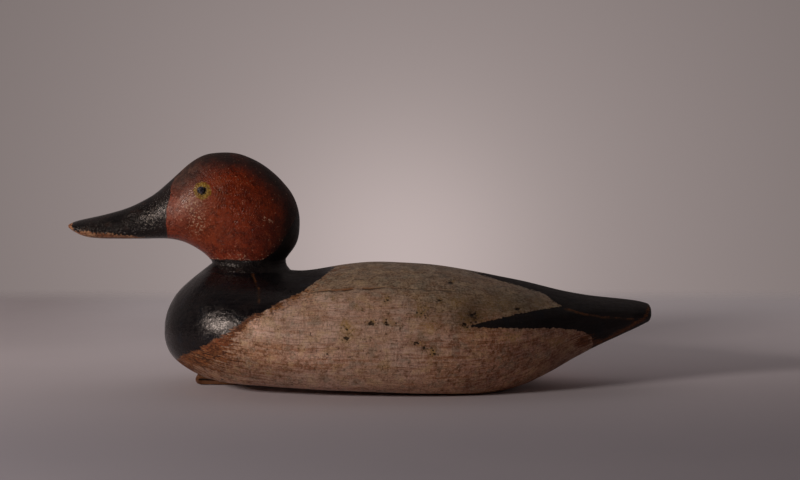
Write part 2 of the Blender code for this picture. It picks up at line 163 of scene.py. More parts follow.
NECK_SCRATCH = ((-78, 72.2), (-76.4, 67.5), (-74.8, 63.4), (-72.6, 58.7), (-72.4, 53.2), (-72.9, 48.4))
TAIL_RIM = (
    (196.9, 58.7), (195.8, 53.8), (193.8, 50.3), (189.1, 47.4), (183.8, 43.7), (177.1, 40),
    (169, 34.9),
)
# x, z, reach and strength of pitted patches on the near flank.
PITTED = (
    (-12.6, 36.8, 3.6, 1), (-10.9, 29.6, 2.6, 1), (5.2, 39.9, 3, 1), (16.1, 41, 2.4, 0.95),
    (22.4, 39.9, 2, 0.7), (38, 26.8, 3.2, 0.85), (43, 22.8, 3, 0.9), (48.6, 20.3, 3, 0.9),
    (-8.6, 56.5, 2.2, 0.7), (-3.5, 50.5, 2.2, 0.6), (16.2, 56.8, 3, 0.8), (52.6, 57.6, 2.6, 0.8),
    (42, 50, 6.5, 0.75), (58.9, 70.2, 1.8, 0.9), (75.5, 46.5, 5.6, 1), (70.5, 39.8, 3, 0.9),
    (106.4, 53.6, 1.8, 0.9), (-7.6, 15.3, 2.2, 0.6), (15.4, 8.7, 3, 0.6), (-22.9, 55.2, 2.2, 0.6),
)
# x, z and reach of single deep pits on the near flank.
HOLES = (
    (-10.8, 28.2, 1.4), (-14.3, 28.8, 0.8), (-11.8, 35, 0.8), (5.2, 39.2, 1.5), (7.9, 41.3, 0.8),
    (15.4, 42.3, 0.9), (16.9, 39, 1.1), (21.7, 39.8, 0.7), (38, 26.8, 0.8), (42.3, 23.2, 0.9),
    (47.1, 23.7, 0.8), (49.3, 19.7, 0.8), (58.9, 70.2, 1.2), (106.4, 53.6, 1.1), (-36.4, 30.6, 0.8),
    (-23.4, 16.7, 0.8), (-7.6, 15.3, 0.8), (-10.3, 48.9, 0.7), (16.9, 56.2, 1), (52.6, 57.6, 1.1),
    (70.4, 41.8, 1), (75, 48.5, 0.9), (147.7, 18.9, 1),
)
# x, z and reach of yellowed patches on the near flank.
YELLOWED = (
    (-12, 33.5, 5), (103.1, 33.5, 3.6), (97.3, 58.1, 6), (133.4, 31.3, 4.5), (89.1, 56.4, 5),
    (46, 38, 4), (66, 57, 5), (120, 57.5, 5),
)
# x, z, reach in each and change of tone of the light coat, darker or lighter in patches; the two that
# lighten it just below the breast line, at (-77, 32) and (-34, 58), are a painted highlight.
COAT_TONES_AND_HIGHLIGHTS = (
    (40, 73, 75, 12, -0.06), (77, 56, 20, 14, -0.3), (74.5, 46, 8, 10, -0.5),
    (46, 48, 18, 10, -0.16), (112, 58, 20, 9, -0.48), (54, 22, 9, 14, 0.14),
    (150, 26, 16, 12, -0.2), (138, 15, 26, 11, -0.26), (-76, 2, 50, 8, -0.36),
    (-110, 12, 22, 14, -0.26), (104, 33, 30, 7, 0.34), (-38, 13, 30, 8, 0.26),
    # The patches at (-77, 32) and, on the next line, (-34, 58) are a painted highlight on the coat below
    # the breast line.
    (98, 53, 14, 7, -0.28), (96, 16, 22, 13, 0.34), (-77, 32, 11, 6, 0.32),
    (-34, 58, 9, 5, 0.3),
)
# The same for the far flank, which has its own wear.
PITTED_FAR = (
    (-30, 40, 4, 0.9), (-5, 30, 3, 0.8), (22, 46, 4, 0.9), (46, 36, 3.4, 0.8),
    (60, 58, 3.2, 0.7), (82, 30, 3.2, 0.7), (102, 42, 2.6, 0.8), (-50, 30, 3, 0.6),
)
# Centre and reach of the skull in the side elevation.
SKULL_X, SKULL_Z, SKULL_LONG, SKULL_HIGH = -97.3, 109.2, 51.0, 43.5

# The leather tie, whose two ends start at the root and fold forward of the breast.
TIE_ROOT_X, TIE_FOLD_X = -64.2, -110.2
TIE_HALF_WIDTH = 6.5
TIE_CORNER = 0.55
TIE_THICK_AT_ROOT, TIE_THICKENING = 2.25, 0.45

# The ballast strip's recess, in millimetres.
RECESS_GAP, RECESS_DEPTH = 0.1, 4.1

# Camera, in millimetres.
CAMERA_REACH = 1700.0  # from the camera to the decoy's middle plane
CAMERA_PITCH = math.radians(6.5)
AIM = Vector((27.5, 0.0, 100.0))
LENS, SENSOR_WIDTH = 111.3, 36

# Stage and light, in metres and watts.
TABLE_HALF, TABLE_END = 4, 0.5
WALL_Y, WALL_HALF, WALL_FOOT, WALL_HEAD = 3.2, 6, -3, 5
GLOW_CENTRE = (0.03, WALL_Y, -0.31)
KEY_WAY, KEY_REACH = Vector((-0.74, -0.578, 0.342)), 1.3
BRIGHT_SIDE = (0.1, 0.97, 0.18)
KEY_TARGET, KEY_SIZE, KEY_POWER = (0, 0, 0.08), (0.24, 0.2), 7.0


# ---------------- numbers


def smooth_columns(table, finer, soften=0.3):
    """A smooth curve through each column, with its corners in curvature eased."""
    values = np.array(table, float)
    steps = np.diff(values, axis=0)
    inner = np.where(
        steps[:-1] * steps[1:] > 0,
        2 * steps[:-1] * steps[1:] / np.where(steps[:-1] + steps[1:] == 0, 1, steps[:-1] + steps[1:]),
        0,
    )
    slopes = np.vstack([steps[:1], inner, steps[-1:]])
    u = np.linspace(0, len(values) - 1, (len(values) - 1) * finer + 1)
    i = np.minimum(u.astype(int), len(values) - 2)
    t = (u - i)[:, None]
    low, high, step = slopes[i], slopes[i + 1], steps[i]
    curve = values[i] + t * low + t**2 * (3 * step - 2 * low - high) + t**3 * (low + high - 2 * step)
    sigma = soften * finer
    reach = int(3 * sigma)
    kernel = np.exp(-0.5 * (np.arange(-reach, reach + 1) / sigma) ** 2)
    kernel /= kernel.sum()
    before = 2 * curve[0] - curve[reach:0:-1]
    after = 2 * curve[-1] - curve[-2 : -reach - 2 : -1]
    padded = np.vstack([before, curve, after])
    return np.stack([np.convolve(padded[:, c], kernel, "valid") for c in range(values.shape[1])], 1)


def bell(value, reach):
    """1 where the value is 0, fading either side of it, to about a third at the reach."""
    return np.exp(-((value / reach) ** 2))


def lattice(ix, iy, iz, seed):
    """A repeatable number from 0 to 1 at each whole point."""
    h = (ix * 374761393 + iy * 668265263 + iz * 2147483647 + seed * 974634777) & 0xFFFFFFFF
    h = ((h ^ (h >> 13)) * 1274126177) & 0xFFFFFFFF
    return ((h ^ (h >> 16)) & 0xFFFFFF) / float(0xFFFFFF)


def noise(points, size, seed=0, octaves=1):
    """Smooth noise from -1 to 1, with features about size across. Size may be one number or three."""
    total, strength, weight = 0.0, 1.0, 0.0
    p = points / np.array(size, float)
    for octave in range(octaves):
        cell = np.floor(p).astype(np.int64)
        f = p - cell
        f = f * f * f * (f * (f * 6 - 15) + 10)
        value = 0
        for dx in (0, 1):
            for dy in (0, 1):
                for dz in (0, 1):
                    share = (
                        (f[:, 0] if dx else 1 - f[:, 0])
                        * (f[:, 1] if dy else 1 - f[:, 1])
                        * (f[:, 2] if dz else 1 - f[:, 2])
                    )
                    value = value + share * lattice(
                        cell[:, 0] + dx, cell[:, 1] + dy, cell[:, 2] + dz, seed + 31 * octave
                    )
        total = total + strength * (2 * value - 1)
        weight += strength
        strength *= 0.5
        p = p * 2.03
    return total / weight


def step(low, high, x):
    """A smooth rise from 0 at low to 1 at high."""
    t = np.clip((x - low) / (high - low), 0, 1)
    return t * t * (3 - 2 * t)


def to_line(x, z, line):
    """(distance to a polyline, signed by its side, and how far along it from 0 to 1)."""
    best = np.full(x.shape, 1e9)
    side = np.zeros(x.shape)
    along = np.zeros(x.shape)
    points = np.array(line, float)
    lengths = np.hypot(*np.diff(points, axis=0).T)
    run = np.concatenate([[0], np.cumsum(lengths)]) / lengths.sum()
    for i, ((ax, az), (bx, bz)) in enumerate(zip(points, points[1:])):
        dx, dz = bx - ax, bz - az
        t = np.clip(((x - ax) * dx + (z - az) * dz) / (dx * dx + dz * dz), 0, 1)
        ox, oz = x - ax - t * dx, z - az - t * dz
        distance = np.hypot(ox, oz)
        near = distance < best
        best = np.where(near, distance, best)
        side = np.where(near, np.sign(dx * oz - dz * ox), side)
        along = np.where(near, run[i] + t * (run[i + 1] - run[i]), along)
    return best * np.where(side == 0, 1, side), best, along


def inside(x, z, outline):
    """Distance to a closed outline, positive inside."""
    closed = tuple(outline) + (outline[0],)
    _, distance, _ = to_line(x, z, closed)
    odd = np.zeros(x.shape, bool)
    for (ax, az), (bx, bz) in zip(closed, closed[1:]):
        if az != bz:
            crosses = ((az > z) != (bz > z)) & (x < (bx - ax) * (z - az) / (bz - az) + ax)
            odd ^= crosses
    return np.where(odd, distance, -distance)


def world_of(points):
    """Hull millimetres to the row frame, in metres."""
    x, y, z = points[..., 0] - HEEL_X, points[..., 1], points[..., 2]
    c, s = math.cos(PITCH), math.sin(PITCH)
    moved = np.stack([HEEL_X + x * c + z * s, y, z * c - x * s + LIFT], -1)
    return moved * MM


def elevation(points):
    """Where hull points appear in the side elevation that the paint was laid out in."""
    x, y, z = points[..., 0], np.abs(points[..., 1]), points[..., 2]
    grow = CAMERA_REACH / (CAMERA_REACH - y)
    lower = y * math.sin(CAMERA_PITCH)
    middle_x, middle_z = AIM.x, AIM.z - 4.0
    return (x - middle_x) * grow + middle_x, (z - lower - middle_z) * grow + middle_z


# ---------------- skins


def power(value, fullness):
    """A quarter of a superellipse, rounder at 2 and squarer above it."""
    return np.abs(value) ** (2 / fullness)


def shelf(x, y, z):
    """The hull's top raised to the neck shelf, fairing into the shoulders."""
    out = np.hypot((x - NECK_X) / NECK_LONG, y / NECK_WIDE)
    raised = SEAT_Z - SHOULDER_SLOPE * (out - 1)
    mix = np.clip(0.5 + 0.5 * (raised - z) / SHOULDER_BLEND, 0, 1)
    soft = z + (raised - z) * mix + SHOULDER_BLEND * mix * (1 - mix)
    low = np.where(out < 1.25, np.minimum(soft, SEAT_Z), soft)
    return np.where(out <= 1, SEAT_Z, low)


def hull_grid(finer=14, arc=ARC, floor_points=16):
    """Rings of hull points, anticlockwise from the right side seen from the tail."""
    rows = smooth_columns(HULL, finer)
    x, crown, keel, mid, wide, flat, upper, lower = (rows[:, i : i + 1] for i in range(8))
    keel = np.where((x > FLAT_FROM) & (x < HEEL_X), 0.0, np.maximum(keel, 0.0))
    angle = np.linspace(0, math.pi / 2, arc + 1)[None, :]
    up_y = wide * power(np.cos(angle), upper)
    up_z = mid + (crown - mid) * power(np.sin(angle), upper)
    down_y = flat + (wide - flat) * power(np.cos(angle), lower)
    down_z = mid - (mid - keel) * power(np.sin(angle), lower)
    across = np.linspace(-1, 1, floor_points + 1)[None, 1:-1]
    y = np.hstack([up_y, -up_y[:, -2::-1], -down_y[:, 1:], flat * across, down_y[:, :0:-1]])
    z = np.hstack([up_z, up_z[:, -2::-1], down_z[:, 1:], keel + 0 * across, down_z[:, :0:-1]])
    full_x = np.broadcast_to(x, y.shape)
    above = z > mid
    z = np.where(above, shelf(full_x, y, z), z)
    return np.stack([full_x, y, z], -1)


def head_grid(finer=12, around=176):
    """Rings of head points from the neck joint to the bill's tip, and each point's share of half width."""
    rows = smooth_columns(HEAD, finer, 0.34)
    rows = rows[rows[:, 1] > 80.6]
    filler = smooth_columns(NECK_FILLER, 5, 0.3)
    join = smooth_columns(np.vstack([filler[-2:], rows[:2]]), 4, 0.05)[4:9]
    rows = np.vstack([filler[:-1], join, rows[1:]])
    lx, lz, hx, hz, wide, widest, lower, upper = (rows[:, i : i + 1] for i in range(8))
    angle = np.linspace(0, 2 * math.pi, around, endpoint=False)[None, :]
    c, s = np.cos(angle), np.sin(angle)
    full = np.where(s >= 0, upper, lower)
    reach = np.where(s >= 0, 1 - widest, -widest)
    share = widest + reach * np.abs(s) ** (2 / full)
    y = np.sign(c) * wide * np.abs(c) ** (2 / full)
    grid = np.stack([lx + (hx - lx) * share, y, lz + (hz - lz) * share], -1)
    rim = np.broadcast_to(np.abs(y) / wide, y.shape)
    return grid, rim


def normals_of(grid):
    """Outward unit normals of a closed-ring grid."""
    along = np.gradient(grid, axis=0)
    around = (np.roll(grid, -1, 1) - np.roll(grid, 1, 1)) / 2
    n = np.cross(around, along)
    length = np.linalg.norm(n, axis=-1, keepdims=True)
    n = n / np.maximum(length, 1e-9)
    centre = grid.mean(1, keepdims=True)
    if (n * (grid - centre)).sum() < 0:
        n = -n
    return n


def girth(grid, start):
    """(length round each ring from point start, negative on the way back, each ring's whole length)."""
    spans = np.linalg.norm(np.diff(grid, axis=1, append=grid[:, :1]), axis=-1)
    run = np.concatenate([np.zeros((len(grid), 1)), np.cumsum(spans, 1)[:, :-1]], 1)
    run = run - run[:, start : start + 1]
    whole = spans.sum(1, keepdims=True)
    return np.where(run > whole / 2, run - whole, np.where(run < -whole / 2, run + whole, run)), whole


def noise_over(grid):
    """A function that gives noise over the grid, by its size, seed and octaves."""

    def rough(size, seed, octaves=2):
        return noise(grid.reshape(-1, 3), size, seed, octaves).reshape(grid.shape[:2])

    return rough


def add_object(name, data):
    obj = bpy.data.objects.new(name, data)
    bpy.context.scene.collection.objects.link(obj)
    return obj


def ring_mesh(name, points, values):
    """A closed mesh of rings of points, in metres, with the values of each point as attributes."""
    rows, ring = points.shape[:2]
    index = np.arange(rows * ring).reshape(rows, ring)
    right = np.roll(index, -1, 1)
    faces = np.stack([index[:-1], right[:-1], right[1:], index[1:]], -1).reshape(-1, 4)
    ends = [index[0][::-1].tolist(), index[-1].tolist()]
    mesh = bpy.data.meshes.new(name)
    mesh.from_pydata(points.reshape(-1, 3).tolist(), [], faces.tolist() + ends)
    for key, value in values.items():
        flat = np.asarray(value, np.float32)
        kind, field = ("FLOAT_VECTOR", "vector") if flat.ndim == 3 else ("FLOAT", "value")
        mesh.attributes.new(key, kind, "POINT").data.foreach_set(field, flat.ravel())
    mesh.shade_smooth()
    obj = add_object(name, mesh)
    face_out(obj)
    return obj


def face_out(obj):
    """Turns the faces of a closed mesh outward."""
    bm = bmesh.new()
    bm.from_mesh(obj.data)
    bmesh.ops.recalc_face_normals(bm, faces=bm.faces[:])
    if bm.calc_volume(signed=True) < 0:
        bmesh.ops.reverse_faces(bm, faces=bm.faces[:])
    bm.to_mesh(obj.data)
    bm.free()


def blot(x, z, cx, cz, reach_x, reach_z):
    """A soft oval patch, 1 at its centre."""
    return np.exp(-(((x - cx) / reach_x) ** 2) - ((z - cz) / reach_z) ** 2)


def blots(x, z, start, *patches):
    """Adds soft patches to start, each one its strength, x, z and reach in x and z."""
    total = start
    for strength, cx, cz, reach_x, reach_z in patches:
        total = total + strength * blot(x, z, cx, cz, reach_x, reach_z)
    return total


def unit(values):
    return np.clip(values, 0, 1)


def spotted(x, z, spots, wide, high, side):
    """How much one side's spots cover, each its x, z, reach and, unless it is 1, its strength."""
    amount = np.zeros(x.shape)
    for cx, cz, reach, *strength in spots:
        spot = math.prod(strength) * blot(x, z, cx, cz, wide * reach, high * reach)
        amount = np.maximum(amount, spot * side)
    return amount


def hull_cracks(ex, ez, z, near, rough):
    """(distance to each region's crack, signed by its side, plain distance, how much the crack shows)."""
    flank, flank_far, run = to_line(ex, ez + 0.9 * rough(13, 5), FLANK_CHECK)
    flank_shown = step(0.0, 0.1, run) * step(1.0, 0.8, run) * near * (z > 45)
    tail, tail_far, run = to_line(ex, ez + 0.5 * rough(10, 6), TAIL_CHECK)
    tail_shown = 0.75 * step(0.0, 0.08, run) * near * (z > 30)
    neck, neck_far, run = to_line(ex + 0.5 * rough(6, 7), ez, NECK_SCRATCH)
    neck_shown = step(0.0, 0.1, run) * step(1.0, 0.75, run) * near
    where = [ex < SCRATCH_BEFORE, ex > TAIL_CHECK_FROM]
    return (
        np.select(where, [neck, tail], flank),
        np.select(where, [neck_far, tail_far], flank_far),
        np.select(where, [neck_shown, tail_shown], flank_shown),
    )


def make_hull():
    grid = hull_grid()
    n = normals_of(grid)
    g, whole = girth(grid, ARC)
    ex, ez = elevation(grid)
    x, y, z = grid[..., 0], grid[..., 1], grid[..., 2]
    near = y < 0
    rough = noise_over(grid)
    wander_x, wander_z = rough(11, 3), rough(11, 4)
    near_x, near_z = ex + 2.0 * wander_x, ez + 2.0 * wander_z
    pit = spotted(near_x, near_z, PITTED, 1.35, 1, near)
    pit = np.maximum(pit, spotted(near_x, near_z, PITTED_FAR, 1.35, 1, ~near))
    holes = spotted(ex + wander_x, ez, HOLES, 1.5, 0.9, near)
    yellowed = spotted(ex + 3 * wander_x, ez + 2 * wander_z, YELLOWED, 1.4, 1, near)

    crack, crack_far, crack_mask = hull_cracks(ex, ez, z, near, rough)
    lip = blot(ex, ez, -8, 62, 27, 8) + 0.45 * (ex > TAIL_CHECK_FROM) + 0.32 * (ex < SCRATCH_BEFORE)
    seam = bell(z - SEAM_Z, 0.7) * np.clip(0.3 + 0.7 * rough(24, 9), 0, 1)

    breast, _, _ = to_line(ex, ez, BREAST_LINE)
    breast = -breast + 0.45 * rough(9, 21, 3)
    tail = inside(ex, ez, TAIL_BLACK) + 0.45 * rough(8, 22, 3)
    black = np.maximum(breast, tail)

    # Bare wood under the breast line, at the tail's edge and under the tail.
    below = np.minimum(breast, 0.0)
    fan = step(-60, -88, ex) * step(4, -3, breast)
    bow_wear = fan * bell(below, 1.8 + 6.8 * step(-72, -106, ex))
    trails = step(-35, -100, ex) * step(30, 18, ez) * step(4, -3, breast)
    bow_wear = bow_wear + 0.58 * trails * bell(below, 26)
    line_wear = 0.5 * bell(breast + 0.8, 1.5) * (0.55 + 0.45 * step(-20, -80, ex))
    _, rim_far, _ = to_line(ex, ez + 0.6 * rough(5, 31), TAIL_RIM)
    tail_rim = 0.85 * bell(rim_far, 1.7)
    under_tail = blots(ex, ez, 0, (0.95, 153, 32.0, 8, 5.5), (0.8, 164, 32.6, 3.5, 2.6))
    wear = unit(bow_wear + line_wear + tail_rim + under_tail)
    speckled = bell(breast + 1.6, 4.2) * step(-120, -100, ex)
    speckled = speckled * (0.7 + 0.5 * blot(ex, ez, -58, 50, 22, 16))
    fresh = 0.3 * bell(breast + 1.0, 1.8)
    fresh = blots(ex, ez, fresh, (0.8, -96, 21.5, 12, 6), (0.5, 151, 31.4, 6, 4))

    line_of_top = 61 - 0.16 * np.clip(ex - 5, 0, 100)
    top = step(-8, 8, ez - line_of_top + 4 * rough(26, 33))
    warm = step(15, 80, ex) * step(58, 34, ez) + step(26, 4, ez) * 0.3
    warm = blots(ex, ez, warm, (1, -98, 8, 44, 16), (0.5, 76, 48, 12, 12), (0.32, -40, 15, 48, 12))
    warm = warm + 0.22 * rough(30, 41, 3)
    # Tone scales the light coat; two of its patches are a painted highlight below the breast line.
    tone = np.full(x.shape, 1.25)
    for cx, cz, reach_x, reach_z, change in COAT_TONES_AND_HIGHLIGHTS:
        tone = tone * (1 + change * blot(ex, ez, cx, cz, reach_x, reach_z))
    tone = tone * (1 + 0.07 * rough(20, 43, 2))

    depth = 0.9 * holes + 0.22 * pit * (rough(2.6, 8, 2) > 0.1)
    depth = depth + 0.4 * crack_mask * bell(crack_far, 0.8) + 0.14 * seam
    swell = 0.42 * rough(44, 1) + 0.15 * rough((30, 9, 9), 2)
    moved = grid + n * (swell - depth)[..., None]
    flatten = (z < 0.1) & (x < HEEL_X + 2) & (x > FLAT_FROM - 4)
    moved = np.where(flatten[..., None], grid, moved)
    floor = (x - HEEL_X) * math.tan(PITCH) - LIFT / math.cos(PITCH)
    moved[..., 2] = np.maximum(moved[..., 2], floor)
    seated = np.hypot((x - NECK_X) / NECK_LONG, y / NECK_WIDE) < 1.05
    moved[..., 2] = np.where(seated & (z > 70), np.minimum(moved[..., 2], SEAT_Z), moved[..., 2])

    # Brush strokes run along the body, drawing together at the breast and the tail.
    flow = np.stack([x, g / whole * 250.0, np.sign(g) * 50], -1)
    dull = step(-20, 60, ex) + blot(ex, ez, -40, 72, 18, 9)
    shares = {
        "top": top, "warm": warm, "pit": pit, "hole": holes + 0.35 * seam * (x < -60),
        "crack_mask": crack_mask, "lip": lip, "fresh": fresh, "dull": dull,
    }
    values = {key: unit(value) for key, value in shares.items()}
    values.update(flow=flow, black=black, wear=wear, speckled=speckled, crack=crack)
    values.update(yellowed=yellowed, tone=np.clip(tone, 0.15, 1.9))
    return world_of(moved), values


def split_at_seam(obj, keep_above):
    """Keeps one side of the seam plane and closes it."""
    bm = bmesh.new()
    bm.from_mesh(obj.data)
    spot = Vector(world_of(np.array([0.0, 0.0, SEAM_Z])))
    normal = Vector((math.sin(PITCH), 0, math.cos(PITCH)))
    cut = bmesh.ops.bisect_plane(
        bm, geom=bm.verts[:] + bm.edges[:] + bm.faces[:], dist=1e-7, plane_co=spot, plane_no=normal,
        clear_inner=keep_above, clear_outer=not keep_above,
    )
    rim = [e for e in cut["geom_cut"] if isinstance(e, bmesh.types.BMEdge)]
    made = bmesh.ops.contextual_create(bm, geom=rim)
    for face in made["faces"]:
        face.smooth = False
    bmesh.ops.triangulate(bm, faces=made["faces"])
    bm.to_mesh(obj.data)
    bm.free()


def make_head():
    grid, rim = head_grid()
    n = normals_of(grid)
    ex, ez = elevation(grid)
    x, z = grid[..., 0], grid[..., 2]
    rough = noise_over(grid)

    bill, _, _ = to_line(ex, ez, BILL_LINE)
    collar, _, _ = to_line(ex, ez, COLLAR_LINE)
    bill = -bill + 0.35 * rough(5, 61, 3)
    collar = -collar + 0.45 * rough(5, 62, 3)
    black = np.maximum(bill, collar)

    # The crown and nape are darkened, partly by dark overpaint and partly by painted shade where the head
    # turns from the light, fading into the red of the cheek.
    out_x, out_z = (ex - SKULL_X) / SKULL_LONG, (ez - SKULL_Z) / SKULL_HIGH
    out = np.hypot(out_x, out_z)
    way = 0.7 * (out_x + out_z) / np.maximum(out, 0.05)
    dusk = step(0.6, 0.95, out + 0.1 * rough(9, 63, 2)) * step(-0.42, 0.1, way)
    dusk = blots(ex, ez, dusk, (0.35, -68, 116, 13, 16))
    brow = blots(ex, ez, 0, (1, -131, 133, 12, 11), (0.6, -118, 141, 12, 7))
    # A painted highlight: a pale pink sheen on the cheek in front of and below the eye.
    veil = blots(ex, ez, 0, (0.55, -130, 112, 7, 11), (1.15, -119, 118, 7.5, 9))
    eye = np.hypot(ex - EYE_X + 0.7, ez - EYE_Z + 2.5)
    chips = blots(
        ex, ez, 0, (1.2, -117, 103.5, 8, 10.5), (0.75, -119, 118, 8, 7),
        (0.8, -68.5, 107.5, 4.5, 3.0), (0.5, -90, 84, 22, 3.5),
    )
    collar_chips = bell(collar, 1.2) * step(-50, -66, ex)
    # Painted highlight: the red brightens toward orange low on the cheek.
    glow = blot(ex, ez, -112, 100, 16, 14)

    tip = step(-150, -198, x)
    # Pale flecks along the bill: partly rubbed-through paint, partly painted glints where the light
    # catches it.
    rub = 0.8 * blots(ex, ez, 0, (1, -146, 108.5, 11, 6), (0.8, -138, 116, 6, 6))
    rub = blots(ex, ez, rub, (0.4, -151, 101.5, 12, 4.5))
    low_edge = bell(ez - 92.2, 1.4 + 2.6 * tip) * step(-140, -160, x + 4 * rough(7, 64))
    low_edge = low_edge * (0.25 + 0.75 * step(0.5, 0.85, rim))
    end = step(-199.0, -203.5, x + 1.2 * rough(4, 65))
    wear = 0.9 * low_edge + 0.95 * end

    joint = bell(z - 79.0, 2.6)
    rings = joint * np.sin(z * 2.6 + 0.6 * rough(12, 66)) * 0.1
    swell = 0.3 * rough(26, 51) + 0.08 * rough(9, 52) + rings
    depth = 0.28 * bell(eye, 3.4) + 0.1 * unit(chips) * (rough(2.4, 67) > 0.25)
    moved = grid + n * (swell - depth)[..., None]
    moved[:3] = grid[:3]
    shares = {
        "wear": wear, "dusk": dusk, "brow": brow, "veil": veil, "chips": chips + collar_chips,
        "rub": rub,
    }
    values = {key: unit(value) for key, value in shares.items()}
    values.update(flow=grid, black=black, eye=eye, glow=glow, joint=joint, aside=ex * 0.6 - ez * 0.8)
    return world_of(moved), values


# ---------------- node shorthand


class Nodes:
    """Short calls that build the nodes of one material or world."""

    def __init__(self, owner):
        owner.use_nodes = True
        self.tree = owner.node_tree

    def node(self, kind, settings=None, inputs=None):
        made = self.tree.nodes.new(kind)
        for key, value in (settings or {}).items():
            setattr(made, key, value)
        for key, value in (inputs or {}).items():
            self.put(made.inputs[key], value)
        return made

    def put(self, socket, value):
        if isinstance(value, bpy.types.NodeSocket):
            self.tree.links.new(value, socket)
        elif hasattr(socket.default_value, "__len__") and not hasattr(value, "__len__"):
            socket.default_value = [value] * len(socket.default_value)
        elif hasattr(value, "__len__") and len(socket.default_value) == 4 and len(value) == 3:
            socket.default_value = (*value, 1)
        else:
            socket.default_value = value

    def attribute(self, name, vector=False):
        made = self.node("ShaderNodeAttribute", {"attribute_name": name})
        return made.outputs["Vector" if vector else "Fac"]

    def masks(self, *names):
        """The values of each point that the meshes carry, by name."""
        return SimpleNamespace(**{name: self.attribute(name) for name in names})

    def place(self):
        return self.node("ShaderNodeTexCoord").outputs["Object"]

    def vectors(self, operation, a, b=(0, 0, 0)):
        """The outputs of one vector calculation."""
        return self.node("ShaderNodeVectorMath", {"operation": operation}, {0: a, 1: b}).outputs

    def stretch(self, vector, scale):
        return self.vectors("MULTIPLY", vector, scale)["Vector"]

    def noise(self, vector, scale, detail=3, rough=0.5):
        inputs = {"Vector": vector, "Scale": scale, "Detail": detail, "Roughness": rough}
        return self.node("ShaderNodeTexNoise", {"noise_dimensions": "3D"}, inputs).outputs["Fac"]

    def grain(self, vector, scale, detail=3, rough=0.5):
        """Noise with its own scale along each axis."""
        return self.noise(self.stretch(vector, scale), 1.0, detail, rough)

    def cells(self, vector, scale, feature="F1"):
        inputs = {"Vector": vector, "Scale": scale}
        return self.node("ShaderNodeTexVoronoi", {"feature": feature}, inputs).outputs["Distance"]

    def math(self, operation, a, b=0.0, clamp=False):
        made = self.node("ShaderNodeMath", {"operation": operation, "use_clamp": clamp}, {0: a, 1: b})
        return made.outputs[0]

    def times(self, a, b, clamp=False):
        return self.math("MULTIPLY", a, b, clamp)

    def plus(self, a, b, clamp=False):
        return self.math("ADD", a, b, clamp)

    def total(self, first, *others):
        for other in others:
            first = self.plus(first, other)
        return first

    def less(self, a, b):
        return self.math("SUBTRACT", a, b)

    def swing(self, value, gain):
        """A value around a half, turned into one around 0."""
        return self.times(self.less(value, 0.5), gain)

    def grey(self, value):
        return self.node("ShaderNodeCombineXYZ", {}, {0: value, 1: value, 2: value}).outputs[0]

    def span(self, value, low, high, out_low=0.0, out_high=1.0):
        """out_low where the value is at low, going smoothly to out_high at high."""
        made = self.node(
            "ShaderNodeMapRange", {"interpolation_type": "SMOOTHSTEP"},
            {"Value": value, "From Min": low, "From Max": high, "To Min": out_low, "To Max": out_high},
        )
        return made.outputs["Result"]

    def mix(self, factor, a, b, blend="MIX"):
        made = self.node("ShaderNodeMix", {"data_type": "RGBA", "blend_type": blend})
        self.put(made.inputs[0], factor)
        self.put(made.inputs[6], a)
        self.put(made.inputs[7], b)
        return made.outputs[2]

    def between(self, mask, low, high, a, b):
        """Colour a where the mask is at low, going to colour b at high."""
        return self.mix(self.span(mask, low, high), a, b)

    def layers(self, colour, *coats):
        """Lays coats over a colour: each its mask, where that starts and is full, its most, its colour."""
        for mask, low, high, most, over in coats:
            colour = self.mix(self.span(mask, low, high, 0.0, most), colour, over)
        return colour

    def within(self, region, mask, low, high, most, colour, over):
        """Lays one coat over a colour, inside a region only."""
        return self.mix(self.times(region, self.span(mask, low, high, 0.0, most)), colour, over)

    def bump(self, height, distance, strength=1.0, below=None):
        inputs = {"Height": height, "Distance": distance, "Strength": strength}
        if below is not None:
            inputs["Normal"] = below
        return self.node("ShaderNodeBump", {}, inputs).outputs["Normal"]


class Paint(Nodes):
    """One material, whose shader gets its colour, roughness, normal and other sockets at the finish."""

    def __init__(self, name):
        self.material = bpy.data.materials.new(name)
        super().__init__(self.material)
        self.shader = self.tree.nodes["Principled BSDF"]

    def finish(self, colour, roughness, normal=None, **sockets):
        self.put(self.shader.inputs["Base Color"], colour)
        self.put(self.shader.inputs["Roughness"], roughness)
        if normal is not None:
            self.put(self.shader.inputs["Normal"], normal)
        for key, value in sockets.items():
            self.put(self.shader.inputs[key.replace("_", " ")], value)
        return self.material


WARM_SHINE = (1.0, 0.86, 0.79)


def old_wood(p, flow):
    """The colour of old bare wood, its grain along the flow."""
    grain = p.grain(flow, (0.035, 0.75, 0.75), 4, 0.65)
    fleck = p.grain(flow, (0.3, 1.5, 1.5), 3, 0.65)
    tone = p.grain(flow, (0.09, 0.2, 0.2), 3)
    return p.layers(
        p.between(grain, 0.46, 0.54, (0.045, 0.013, 0.006), (0.2, 0.052, 0.015)),
        (tone, 0.46, 0.55, 1, (0.1, 0.029, 0.011)),
        (fleck, 0.52, 0.58, 0.8, (0.36, 0.145, 0.052)),
        (fleck, 0.48, 0.41, 0.9, (0.034, 0.013, 0.006)),
    )


